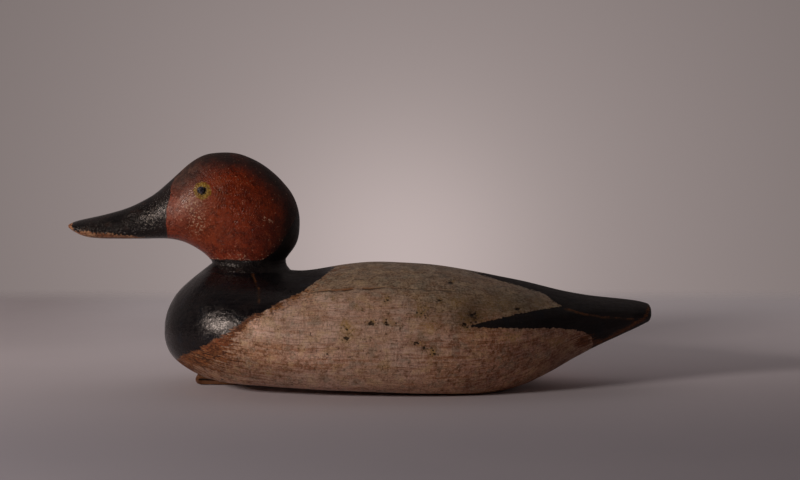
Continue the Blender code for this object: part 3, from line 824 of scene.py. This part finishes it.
def light_coat(p, m, n):
    """Off-white coat: pinkish on the flank, darker olive on the back, red-brown where thin."""
    coat = p.layers(
        p.between(n.cloud, 0.4, 0.6, (0.52, 0.335, 0.262), (0.41, 0.243, 0.17)),
        (n.patchy, 0.52, 0.66, 0.32, (0.36, 0.178, 0.105)),
        (n.patchy, 0.46, 0.36, 0.3, (0.38, 0.29, 0.215)),
    )
    brown = p.between(n.cloud, 0.4, 0.62, (0.31, 0.106, 0.043), (0.43, 0.186, 0.08))
    brown = p.layers(brown, (n.patchy, 0.52, 0.64, 0.5, (0.15, 0.05, 0.022)))
    thin = p.plus(p.times(m.warm, 0.85), p.span(n.streak, 0.42, 0.62, -0.28, 0.42), True)
    coat = p.mix(p.times(thin, 0.85), coat, brown)
    coat = p.within(m.warm, n.streak, 0.5, 0.58, 0.6, coat, (0.205, 0.068, 0.028))
    olive = p.layers(
        p.between(n.mottle, 0.45, 0.55, (0.33, 0.252, 0.15), (0.072, 0.052, 0.022)),
        (n.patchy, 0.44, 0.6, 1, (0.215, 0.145, 0.072)),
        (n.patchy, 0.45, 0.37, 0.7, (0.12, 0.105, 0.07)),
    )
    coat = p.layers(
        p.mix(p.times(m.top, p.span(n.cloud, 0.3, 0.62, 0.95, 0.7)), coat, olive),
        (n.stains, 0.53, 0.62, 0.5, (0.175, 0.15, 0.105)),
        (n.stains, 0.46, 0.38, 0.42, (0.52, 0.35, 0.185)),
        (n.fine, 0.46, 0.37, 0.44, (0.13, 0.06, 0.028)),
        (n.fine, 0.54, 0.65, 0.34, (0.64, 0.44, 0.32)),
        (n.cross, 0.45, 0.36, 0.34, (0.13, 0.065, 0.032)),
        (n.mottle, 0.52, 0.64, 0.5, (0.195, 0.086, 0.034)),
    )
    coat = p.within(m.warm, n.mottle, 0.5, 0.58, 0.54, coat, (0.135, 0.042, 0.016))
    coat = p.within(m.warm, n.mottle, 0.47, 0.39, 0.66, coat, (0.48, 0.285, 0.145))
    ochre = p.times(m.yellowed, p.span(n.grit, 0.42, 0.62, 0.15, 0.9))
    return p.layers(
        p.mix(ochre, coat, (0.46, 0.27, 0.1)),
        (n.grit, 0.53, 0.63, 0.32, (0.12, 0.056, 0.026)),
        (n.grit, 0.47, 0.37, 0.34, (0.66, 0.46, 0.34)),
    )


def flecked(p, m, n, coat):
    """(the coat with its flecks and pits, where it is pitted deep)."""
    crowd = p.total(
        p.times(m.top, 0.03), p.times(m.speckled, 0.075), p.times(m.pit, 0.105), p.swing(n.mottle, 0.24)
    )
    flecks = p.span(p.plus(n.grit, crowd), 0.605, 0.68)
    coat = p.mix(p.times(flecks, 0.68), coat, (0.055, 0.028, 0.014))
    halo = p.times(m.pit, p.span(n.grit, 0.4, 0.58, 0.35, 0.95))
    rotten = p.between(n.mottle, 0.46, 0.54, (0.09, 0.046, 0.018), (0.4, 0.235, 0.085))
    coat = p.mix(halo, coat, rotten)
    wobble = p.swing(n.grit, 0.5)
    pocked = p.less(p.plus(n.burrow, wobble), p.times(m.pit, 0.36))
    pocks = p.times(p.span(pocked, 0.06, -0.04), p.span(m.pit, 0.1, 0.34))
    deep = p.math("MAXIMUM", pocks, p.span(p.plus(m.hole, wobble), 0.34, 0.52))
    coat = p.mix(p.times(deep, 0.92), coat, (0.02, 0.01, 0.005))
    rusty = p.between(n.grit, 0.42, 0.6, (0.36, 0.15, 0.05), (0.085, 0.035, 0.015))
    specks = p.times(p.times(m.speckled, p.span(n.mottle, 0.42, 0.55)), 0.9)
    return p.mix(specks, coat, rusty), deep


def black_coat(p, n):
    dark = p.layers(
        p.between(n.streak, 0.42, 0.62, (0.005, 0.0042, 0.0052), (0.0098, 0.0074, 0.0084)),
        (n.patchy, 0.55, 0.66, 0.35, (0.016, 0.0098, 0.0092)),
        (n.patchy, 0.45, 0.36, 0.6, (0.0042, 0.006, 0.0105)),
    )
    rub = p.times(p.span(n.grit, 0.6, 0.7), p.span(n.mottle, 0.5, 0.6))
    return p.mix(p.times(rub, 0.6), dark, (0.06, 0.036, 0.026))


def hull_wood(p, m, n, flow):
    """(bare wood, where it shows)."""
    exposed = p.total(p.swing(n.streak, 4), p.swing(n.mottle, 1.7), p.swing(n.grit, 0.9))
    exposed = p.times(exposed, p.span(m.wear, 0, 0.3, 0.4, 1))
    bare = p.span(p.plus(exposed, p.times(m.wear, 1.15)), 0.48, 0.84)
    fresh = p.times(m.fresh, p.span(n.grit, 0.44, 0.56, 0.05, 0.9))
    wood = p.layers(
        p.mix(fresh, old_wood(p, flow), (0.27, 0.062, 0.017)),
        (n.mottle, 0.49, 0.58, 0.55, (0.07, 0.022, 0.01)),
        (n.grit, 0.55, 0.63, 0.4, (0.4, 0.16, 0.052)),
    )
    return wood, bare


def cracked(p, m, n, colour):
    """(the colour with its drying cracks, where they split). Paint has lifted beside each dark line."""
    drift = p.plus(m.crack, p.swing(n.mottle, 2.4))
    lips = p.span(p.math("ABSOLUTE", p.less(drift, 0.35)), 0.95, 0.4)
    broken = p.span(n.breaks, 0.44, 0.56, 0.1, 1)
    lips = p.times(p.times(lips, broken), p.times(m.crack_mask, m.lip))
    colour = p.mix(p.times(lips, 0.8), colour, (0.34, 0.12, 0.036))
    split = p.span(p.math("ABSOLUTE", p.plus(drift, 0.25)), 0.75, 0.28)
    split = p.times(split, p.times(m.crack_mask, p.span(broken, 0, 1, 0.45, 1)))
    return p.mix(p.times(split, 0.75), colour, (0.04, 0.02, 0.009)), split


def hull_paint():
    p = Paint("hull_paint")
    flow = p.attribute("flow", True)
    place = p.place()
    m = p.masks(
        "black", "wear", "speckled", "top", "warm", "tone", "pit", "hole", "crack", "crack_mask", "lip",
        "yellowed", "fresh", "dull",
    )
    n = SimpleNamespace(
        streak=p.grain(flow, (0.035, 0.95, 0.95), 5, 0.65),
        fine=p.grain(flow, (0.11, 1.9, 1.9), 3, 0.6),
        cross=p.grain(flow, (1.1, 0.13, 0.13), 3, 0.6),
        cloud=p.noise(place, 42, 4, 0.6),
        patchy=p.noise(place, 88, 4, 0.65),
        stains=p.grain(place, (100, 100, 125), 4, 0.65),
        breaks=p.noise(place, 150, 3, 0.6),
        mottle=p.noise(place, 170, 6, 0.78),
        grit=p.noise(place, 640, 3, 0.7),
        burrow=p.cells(p.stretch(place, (1, 1, 1.3)), 330),
    )
    coat, deep = flecked(p, m, n, light_coat(p, m, n))
    # The tone, which holds a painted highlight below the breast line, scales the coat.
    coat = p.mix(1, coat, p.grey(m.tone), "MULTIPLY")
    jitter = p.plus(p.swing(n.grit, 2.2), p.swing(n.mottle, 3))
    is_black = p.span(p.plus(m.black, jitter), -0.18, 0.18)
    wood, bare = hull_wood(p, m, n, flow)
    colour = p.mix(bare, p.mix(is_black, coat, black_coat(p, n)), wood)
    colour, split = cracked(p, m, n, colour)

    crackle = p.span(p.cells(place, 560, "DISTANCE_TO_EDGE"), 0, 0.14)
    height = p.plus(p.times(p.plus(n.streak, n.fine), 0.5), p.times(crackle, 0.3))
    height = p.less(height, p.times(bare, 0.4))
    height = p.less(height, p.times(deep, 1.6))
    height = p.less(height, split)
    normal = p.bump(height, 0.00028, p.span(is_black, 0, 1, 0.9, 0.3))
    normal = p.bump(n.mottle, 0.0003, p.span(is_black, 0, 1, 0.8, 0.12), normal)
    craze = p.grain(place, (350, 350, 520), 1)
    normal = p.bump(craze, 0.00072, p.span(is_black, 0, 1, 0, 0.3), normal)
    rough = p.total(
        p.span(is_black, 0, 1, 0.46, 0.235),
        p.times(m.dull, p.span(is_black, 0, 1, 0, 0.54)),
        p.times(bare, 0.25),
    )
    rough = p.plus(rough, p.span(n.mottle, 0.38, 0.62, -0.05, 0.1), True)
    return p.finish(colour, rough, normal, Specular_IOR_Level=0.35, Specular_Tint=WARM_SHINE)


def red_coat(p, m, n):
    """Rust red, darkened at the crown and nape by overpaint and painted shade, with a painted highlight of
    brighter red low on the cheek, dust by the brow, a painted pink sheen before the eye, and rings at the
    eye.
    """
    red = p.between(n.broad, 0.4, 0.6, (0.16, 0.015, 0.0035), (0.285, 0.0315, 0.0058))
    # The glow is a painted highlight, brighter orange-red low on the cheek.
    red = p.layers(
        p.mix(p.times(m.glow, 0.6, True), red, (0.38, 0.062, 0.012)),
        (n.mottle, 0.49, 0.38, 0.62, (0.06, 0.009, 0.004)),
        (n.grit, 0.5, 0.38, 0.55, (0.075, 0.012, 0.005)),
        (n.grit, 0.55, 0.66, 0.35, (0.46, 0.12, 0.04)),
        (n.mottle, 0.55, 0.68, 0.45, (0.4, 0.09, 0.028)),
        (n.brushed, 0.46, 0.36, 0.3, (0.055, 0.012, 0.0065)),
    )
    # Dark overpaint and painted shade over the crown and nape.
    dark_red = p.between(n.mottle, 0.42, 0.62, (0.0115, 0.008, 0.0075), (0.034, 0.0135, 0.0095))
    shade = p.times(m.dusk, p.span(n.broad, 0.34, 0.64, 0.98, 0.8))
    shade = p.plus(shade, p.swing(n.mottle, p.times(m.dusk, 1.2)), True)
    red = p.mix(shade, red, dark_red)
    browed = p.between(n.mottle, 0.44, 0.6, (0.045, 0.024, 0.019), (0.125, 0.062, 0.044))
    red = p.mix(p.times(m.brow, 0.85, True), red, browed)
    # The painted pink sheen before the eye.
    red = p.mix(p.times(m.veil, p.span(n.grit, 0.4, 0.62, 0.15, 0.85)), red, (0.46, 0.205, 0.135))

    # Fine age rings in the paint, spreading from below the eye.
    arcs = p.math("SINE", p.times(p.plus(m.eye, p.times(n.mottle, 2.4)), 3.4))
    arc_band = p.times(p.span(m.eye, 7, 9), p.span(m.eye, 19, 12))
    arc_band = p.times(arc_band, p.span(m.aside, -176, -166))
    arcs = p.times(p.span(arcs, 0.35, 0.95), arc_band)
    return p.mix(p.times(arcs, 0.42), red, (0.4, 0.165, 0.085))


def bill_black(p, m, n):
    dark = p.between(n.broad, 0.42, 0.62, (0.006, 0.005, 0.0054), (0.014, 0.0096, 0.009))
    # The pale flecks on the bill are partly worn paint and partly painted glints.
    worn_and_glint_flecks = p.span(p.plus(n.grit, p.times(m.rub, 0.1)), 0.64, 0.7)
    dark = p.mix(p.times(worn_and_glint_flecks, p.times(m.rub, 0.95)), dark, (0.42, 0.355, 0.3))
    return p.layers(dark, (n.mottle, 0.56, 0.68, 0.5, (0.05, 0.018, 0.011)))


def head_paint():
    p = Paint("head_paint_worn")
    place = p.place()
    flow = p.attribute("flow", True)
    m = p.masks(
        "black", "wear", "dusk", "brow", "veil", "eye", "chips", "glow", "aside", "rub", "joint"
    )
    n = SimpleNamespace(
        broad=p.noise(place, 52, 4, 0.65),
        mottle=p.noise(place, 210, 6, 0.78),
        grit=p.noise(place, 700, 3, 0.7),
        brushed=p.grain(place, (260, 90, 900), 3, 0.6),
    )
    crumbs = p.total(n.grit, p.times(m.chips, 0.125), p.swing(n.mottle, 0.3))
    crumbs = p.span(crumbs, 0.665, 0.735)
    red = p.mix(p.times(crumbs, 0.9), red_coat(p, m, n), (0.62, 0.4, 0.26))

    # The painted ring round the eye.
    ripple = p.plus(p.swing(n.grit, 3), p.swing(n.mottle, 6))
    around = p.plus(m.eye, ripple)
    iris = p.between(n.grit, 0.42, 0.6, (0.2, 0.088, 0.008), (0.42, 0.245, 0.032))
    iris = p.mix(p.span(around, 3.3, 2.6), iris, (0.05, 0.034, 0.012))
    red = p.mix(p.span(around, 6.4, 5.5), red, iris)
    is_black = p.span(p.plus(m.black, p.times(ripple, 0.45)), -0.2, 0.2)
    paint = p.mix(is_black, red, bill_black(p, m, n))

    exposed = p.total(p.swing(n.mottle, 2.6), p.swing(n.grit, 1.6), p.times(m.wear, 1.3))
    bare = p.span(exposed, 0.62, 0.84)
    tan = p.between(n.mottle, 0.44, 0.58, (0.36, 0.12, 0.048), (0.66, 0.37, 0.2))
    tan = p.layers(tan, (n.grit, 0.5, 0.42, 0.9, (0.07, 0.02, 0.01)))
    colour = p.mix(bare, paint, p.mix(0.35, tan, old_wood(p, flow)))

    crackle = p.span(p.cells(place, 620, "DISTANCE_TO_EDGE"), 0, 0.16)
    height = p.plus(p.times(crackle, 0.45), p.times(n.brushed, 0.4))
    height = p.less(height, p.times(p.plus(bare, crumbs, True), 0.4))
    normal = p.bump(height, 0.00026, 0.9)
    normal = p.bump(n.mottle, 0.0003, p.span(m.joint, 0.1, 0.6, 0.75, 0.1), normal)
    turned = p.grain(flow, (0.08, 0.08, 0.6), 2)
    normal = p.bump(turned, 0.0009, p.span(m.joint, 0.1, 0.7, 0, 0.55), normal)
    rough = p.total(p.span(is_black, 0, 1, 0.3, 0.22), p.times(m.dusk, 0.25), p.times(bare, 0.3))
    rough = p.plus(rough, p.span(n.mottle, 0.38, 0.62, -0.06, 0.09), True)
    return p.finish(colour, rough, normal, Specular_IOR_Level=0.38, Specular_Tint=WARM_SHINE)


def rust():
    p = Paint("rusted_iron")
    place = p.place()
    patch = p.noise(place, 900, 4, 0.65)
    colour = p.between(patch, 0.4, 0.62, (0.045, 0.032, 0.027), (0.19, 0.07, 0.028))
    rough = p.span(patch, 0.35, 0.65, 0.45, 0.85)
    return p.finish(colour, rough, p.bump(patch, 0.00015, 0.8), Metallic=0.35)


def lead():
    p = Paint("dull_lead")
    place = p.place()
    cloud = p.noise(place, 60, 4, 0.6)
    grit = p.noise(place, 700, 4, 0.65)
    colour = p.between(cloud, 0.35, 0.65, (0.12, 0.125, 0.13), (0.24, 0.24, 0.235))
    colour = p.layers(colour, (grit, 0.55, 0.7, 0.6, (0.36, 0.35, 0.33)))
    normal = p.bump(grit, 0.0002, 0.6, p.bump(cloud, 0.001, 0.5))
    return p.finish(colour, p.span(grit, 0.3, 0.7, 0.45, 0.7), normal, Metallic=0.55)


def enamel():
    p = Paint("eye_enamel")
    place = p.place()
    smear_and_sheen = p.noise(place, 500, 4, 0.6)
    # The lighter purple-grey is partly a painted reflection on the tack's dome.
    colour = p.between(smear_and_sheen, 0.42, 0.62, (0.014, 0.011, 0.018), (0.095, 0.075, 0.09))
    return p.finish(colour, p.span(smear_and_sheen, 0.35, 0.7, 0.12, 0.34), p.bump(smear_and_sheen, 0.00008, 0.5))


def bare_dowel():
    p = Paint("dowel_wood")
    place = p.place()
    grain = p.grain(place, (900, 900, 30), 4, 0.6)
    colour = p.between(grain, 0.36, 0.64, (0.26, 0.14, 0.06), (0.5, 0.33, 0.17))
    return p.finish(colour, 0.7, p.bump(grain, 0.0002, 0.6))


def leather():
    p = Paint("tie_leather")
    place = p.place()
    edge = p.attribute("edge")
    pores = p.cells(place, 1400)
    cloud = p.noise(place, 150, 4, 0.6)
    wrinkle = p.grain(place, (420, 90, 420), 4, 0.65)
    colour = p.between(cloud, 0.35, 0.65, (0.075, 0.021, 0.007), (0.16, 0.048, 0.014))
    colour = p.layers(
        colour,
        (wrinkle, 0.56, 0.7, 0.65, (0.22, 0.09, 0.034)),
        (wrinkle, 0.44, 0.3, 0.8, (0.04, 0.014, 0.007)),
    )
    colour = p.mix(p.times(edge, p.span(cloud, 0.3, 0.6, 0.2, 0.7)), colour, (0.2, 0.085, 0.035))
    height = p.plus(wrinkle, p.times(pores, 0.4))
    rough = p.span(cloud, 0.3, 0.7, 0.5, 0.75)
    return p.finish(colour, rough, p.bump(height, 0.0004, 0.8), Specular_IOR_Level=0.25)


# ---------------- leather tie


def tie_path():
    """The folded strip's middle line in (x, z), in row-frame millimetres, from top end to low end."""
    top, low = [], []
    for x in np.linspace(TIE_ROOT_X, TIE_FOLD_X, 40):
        room = (HEEL_X - x) * math.tan(PITCH) + LIFT
        share = (TIE_ROOT_X - x) / (TIE_ROOT_X - TIE_FOLD_X)
        thick = TIE_THICK_AT_ROOT + TIE_THICKENING * min(1.0, max(0.0, (TIE_ROOT_X - 10 - x) / 12))
        top.append((x, room - 0.35 - thick / 2 - 0.15 * share))
        clear = 0.75 * (1 - share) ** 2
        low.append((x, max(clear + thick / 2 + 0.02, room - 0.45 - 1.5 * thick - 1.2 * share)))
    (tx, tz), (_, lz) = top[-1], low[-1]
    middle, radius = (tz + lz) / 2, (tz - lz) / 2
    bend = [
        (tx - radius * 1.02 * math.sin(a), middle + radius * math.cos(a))
        for a in np.linspace(0, math.pi, 24)[1:-1]
    ]
    return np.array(top + bend + low[::-1])


def strip_ring():
    """One ring round the strip: (side y, side z, share of a corner's reach in y, and in z)."""
    ring = []
    for sy, sz in ((1, 1), (-1, 1), (-1, -1), (1, -1)):
        for turn in (math.pi / 2 * a / 3 for a in range(4)):
            first, second = math.cos(turn), math.sin(turn)
            ring.append((sy, sz, first, second) if sy * sz > 0 else (sy, sz, second, first))
        if sz == sy:
            ring += [(a, sz, 0.0, 1.0) for a in np.linspace(1, -1, 12)[1:-1] * sy]
    return ring


def make_tie():
    path = tie_path()
    tangent = np.gradient(path, axis=0)
    tangent /= np.linalg.norm(tangent, axis=1, keepdims=True)
    side = np.stack([-tangent[:, 1], tangent[:, 0]], 1)
    share = np.linspace(-1, 1, len(path))
    thick = TIE_THICK_AT_ROOT + TIE_THICKENING * step(1.0, 0.55, np.abs(share))
    wide = TIE_HALF_WIDTH + 0.18 * np.sin(np.arange(len(path)) * 0.35)
    wide = wide - 0.5 * step(0.95, 1.0, np.abs(share))
    grid, edges = [], []
    for i, (x, z) in enumerate(path):
        row, rim = [], []
        for sy, sz, first, second in strip_ring():
            y = sy * (wide[i] - TIE_CORNER)
            if abs(sy) == 1:
                y = y + sy * first * TIE_CORNER
            off = sz * (thick[i] / 2 - TIE_CORNER + second * TIE_CORNER)
            row.append((x + side[i, 0] * off, y, z + side[i, 1] * off))
            rim.append(step(wide[i] - 1.4, wide[i] - 0.2, np.array(abs(y))))
        grid.append(row)
        edges.append(rim)
    grid, edges = np.array(grid), np.array(edges)
    rough = noise_over(grid)
    wobble = rough(6.0, 71) * 0.1
    grid[..., 1] += rough(9.0, 72, 1) * 0.35
    centre = np.stack([path[:, 0], 0 * path[:, 0], path[:, 1]], 1)[:, None]
    outward = grid - centre
    outward[..., 1] = 0
    outward /= np.maximum(np.linalg.norm(outward, axis=-1, keepdims=True), 1e-6)
    grid += outward * wobble[..., None]
    grid[..., 2] = np.maximum(grid[..., 2], 0.01)
    return ring_mesh("anchor_tie", grid * MM, {"edge": edges})


# ---------------- assembly


def dress(obj, material):
    """Gives an object one material."""
    obj.data.materials.clear()
    obj.data.materials.append(material)


def cut_away(target, cutter):
    """Cuts one object out of another, and removes the cutter."""
    modifier = target.modifiers.new("cut", "BOOLEAN")
    modifier.solver = "EXACT"
    modifier.operation = "DIFFERENCE"
    modifier.object = cutter
    bpy.context.view_layer.objects.active = target
    with bpy.context.temp_override(object=target, active_object=target, selected_objects=[target]):
        bpy.ops.object.modifier_apply(modifier=modifier.name)
    bpy.data.objects.remove(cutter)


def hull_x(point):
    """How far along the hull, in its millimetres, a row-frame point in metres is."""
    x, z = point.x / MM - HEEL_X, point.z / MM - LIFT
    return HEEL_X + x * math.cos(PITCH) - z * math.sin(PITCH)


def make_recess():
    """A cutter for the ballast strip's recess in the bottom board."""
    low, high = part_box("ballast_strip")
    x0, x1 = hull_x(low), hull_x(high)
    bm = bmesh.new()
    bmesh.ops.create_cube(bm, size=1)
    for vert in bm.verts:
        corner = np.array([
            x0 - RECESS_GAP if vert.co.x < 0 else x1 + RECESS_GAP,
            (low.y if vert.co.y < 0 else high.y) / MM * 1.01,
            -4.0 if vert.co.z < 0 else RECESS_DEPTH,
        ])
        vert.co = world_of(corner)
    mesh = bpy.data.meshes.new("recess")
    bm.to_mesh(mesh)
    bm.free()
    recess = add_object("recess", mesh)
    face_out(recess)
    return recess


# How far the tilted hull is raised to stand on the floor, measured on the hull unraised.
LIFT = 0.0
LIFT = -world_of(hull_grid(8, 24))[..., 2].min() / MM

camera_data = bpy.data.cameras.new("camera")
camera = add_object("camera", camera_data)
back = Vector((0, -math.cos(CAMERA_PITCH), math.sin(CAMERA_PITCH)))
camera.location = (AIM + back * CAMERA_REACH) * MM
camera.rotation_mode = "QUATERNION"
camera.rotation_quaternion = (-back).to_track_quat("-Z", "Y")
camera_data.lens = LENS
camera_data.sensor_width = SENSOR_WIDTH
camera_data.clip_end = 50
bpy.context.scene.camera = camera

hull = make_hull()
paint = hull_paint()
body = ring_mesh("hull_body", *hull)
board = ring_mesh("hull_bottom", *hull)
split_at_seam(body, True)
split_at_seam(board, False)
cut_away(board, make_recess())
for obj, node, slot in ((body, "body_shell", "body_paint"), (board, "bottom_board", "board_paint")):
    dress(obj, paint)
    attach(obj, "hull")
    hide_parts(node)

head = ring_mesh("head_carved", *make_head())
dress(head, head_paint())
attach(head, "hull")
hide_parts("head")

tie = make_tie()
dress(tie, leather())
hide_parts("tie_root", "tie_loop")
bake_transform(tie)

iron = rust()
finishes = {
    "ballast_nail": iron, "board_nail": iron, "tie_nail": iron, "ballast_strip": lead(),
    "eye_tack": enamel(), "neck_dowel": bare_dowel(),
}
for name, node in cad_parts.items():
    for kind, finish in finishes.items():
        if name.startswith(kind):
            dress(node, finish)

# ---------------- stage and light


def sheet_of(name, half, low, high, material):
    """A flat stage piece, from its low edge's (y, z) to its high edge's."""
    mesh = bpy.data.meshes.new(name)
    mesh.from_pydata([(-half, *low), (half, *low), (half, *high), (-half, *high)], [], [(0, 1, 2, 3)])
    mesh.materials.append(material)
    add_object(name, mesh)


def table_finish():
    """Pale cloth with painted light: darker at the front, lighter toward its far edge, where it fades out,
    and with a faint painted glow over its far part.
    """
    p = Paint("table_top")
    place = p.place()
    x, y, _ = p.node("ShaderNodeSeparateXYZ", {}, {0: place}).outputs
    # Painted light: the cloth darkens toward the front and lightens toward the back.
    tone = p.between(y, -0.26, 0.16, (0.45, 0.41, 0.45), (0.94, 0.84, 0.87))
    tone = p.layers(tone, (p.noise(place, 9.0), 0.3, 0.7, 0.1, (0.6, 0.53, 0.55)))
    # A faint painted glow lightens the far part of the cloth, except at its far left.
    glow = p.plus(p.span(y, -0.05, 0.2, 0.0, 0.042), p.span(y, 0.22, 0.4, 0.0, 0.04))
    return p.finish(
        tone, 0.85, p.bump(p.noise(place, 700.0, 3, 0.6), 0.0002, 0.3),
        Alpha=p.span(y, TABLE_END - 0.1, TABLE_END, 1.0, 0.0),
        Emission_Color=(1.0, 0.93, 0.95),
        Emission_Strength=p.times(glow, p.span(x, -0.3, -0.15)),
    )


def wall_finish():
    """A backdrop that glows round its centre and dims toward its edges."""
    p = Paint("backdrop")
    away = p.vectors("SUBTRACT", p.place(), GLOW_CENTRE)["Vector"]
    away = p.vectors("LENGTH", away)["Value"]
    blooms = []
    for reach, strength in ((0.75, 0.17), (0.257, 0.16)):
        ratio = p.math("DIVIDE", away, reach)
        fall = p.math("EXPONENT", p.times(p.times(ratio, ratio), -1.0))
        blooms.append(p.times(fall, strength))
    glow = p.plus(p.plus(*blooms), 0.18)
    return p.finish(
        (0, 0, 0), 1.0, None, Specular_IOR_Level=0.0, Emission_Strength=1.0,
        Emission_Color=p.stretch(p.grey(glow), (1.0, 0.835, 0.81)),
    )


def room_light():
    """Soft light from the wall's side of the room."""
    world = bpy.data.worlds.new("room")
    bpy.context.scene.world = world
    n = Nodes(world)
    way = n.node("ShaderNodeTexCoord").outputs["Generated"]
    lean = n.vectors("DOT_PRODUCT", way, BRIGHT_SIDE)["Value"]
    sky = world.node_tree.nodes["Background"]
    n.put(sky.inputs["Color"], (1.0, 0.9, 0.89))
    n.put(sky.inputs["Strength"], n.span(lean, -0.3, 0.9, 0.008, 0.33))


def key_light():
    data = bpy.data.lights.new("key", "AREA")
    data.shape = "RECTANGLE"
    data.size, data.size_y = KEY_SIZE
    data.energy = KEY_POWER
    data.color = (1.0, 0.93, 0.88)
    lamp = add_object("key", data)
    lamp.location = KEY_WAY * KEY_REACH
    lamp.rotation_mode = "QUATERNION"
    lamp.rotation_quaternion = (Vector(KEY_TARGET) - KEY_WAY * KEY_REACH).to_track_quat("-Z", "Y")


sheet_of("table", TABLE_HALF, (-TABLE_HALF, 0), (TABLE_END, 0), table_finish())
sheet_of("wall", WALL_HALF, (WALL_Y, WALL_FOOT), (WALL_Y, WALL_HEAD), wall_finish())
room_light()
key_light()

bpy.context.scene.view_settings.view_transform = "Standard"
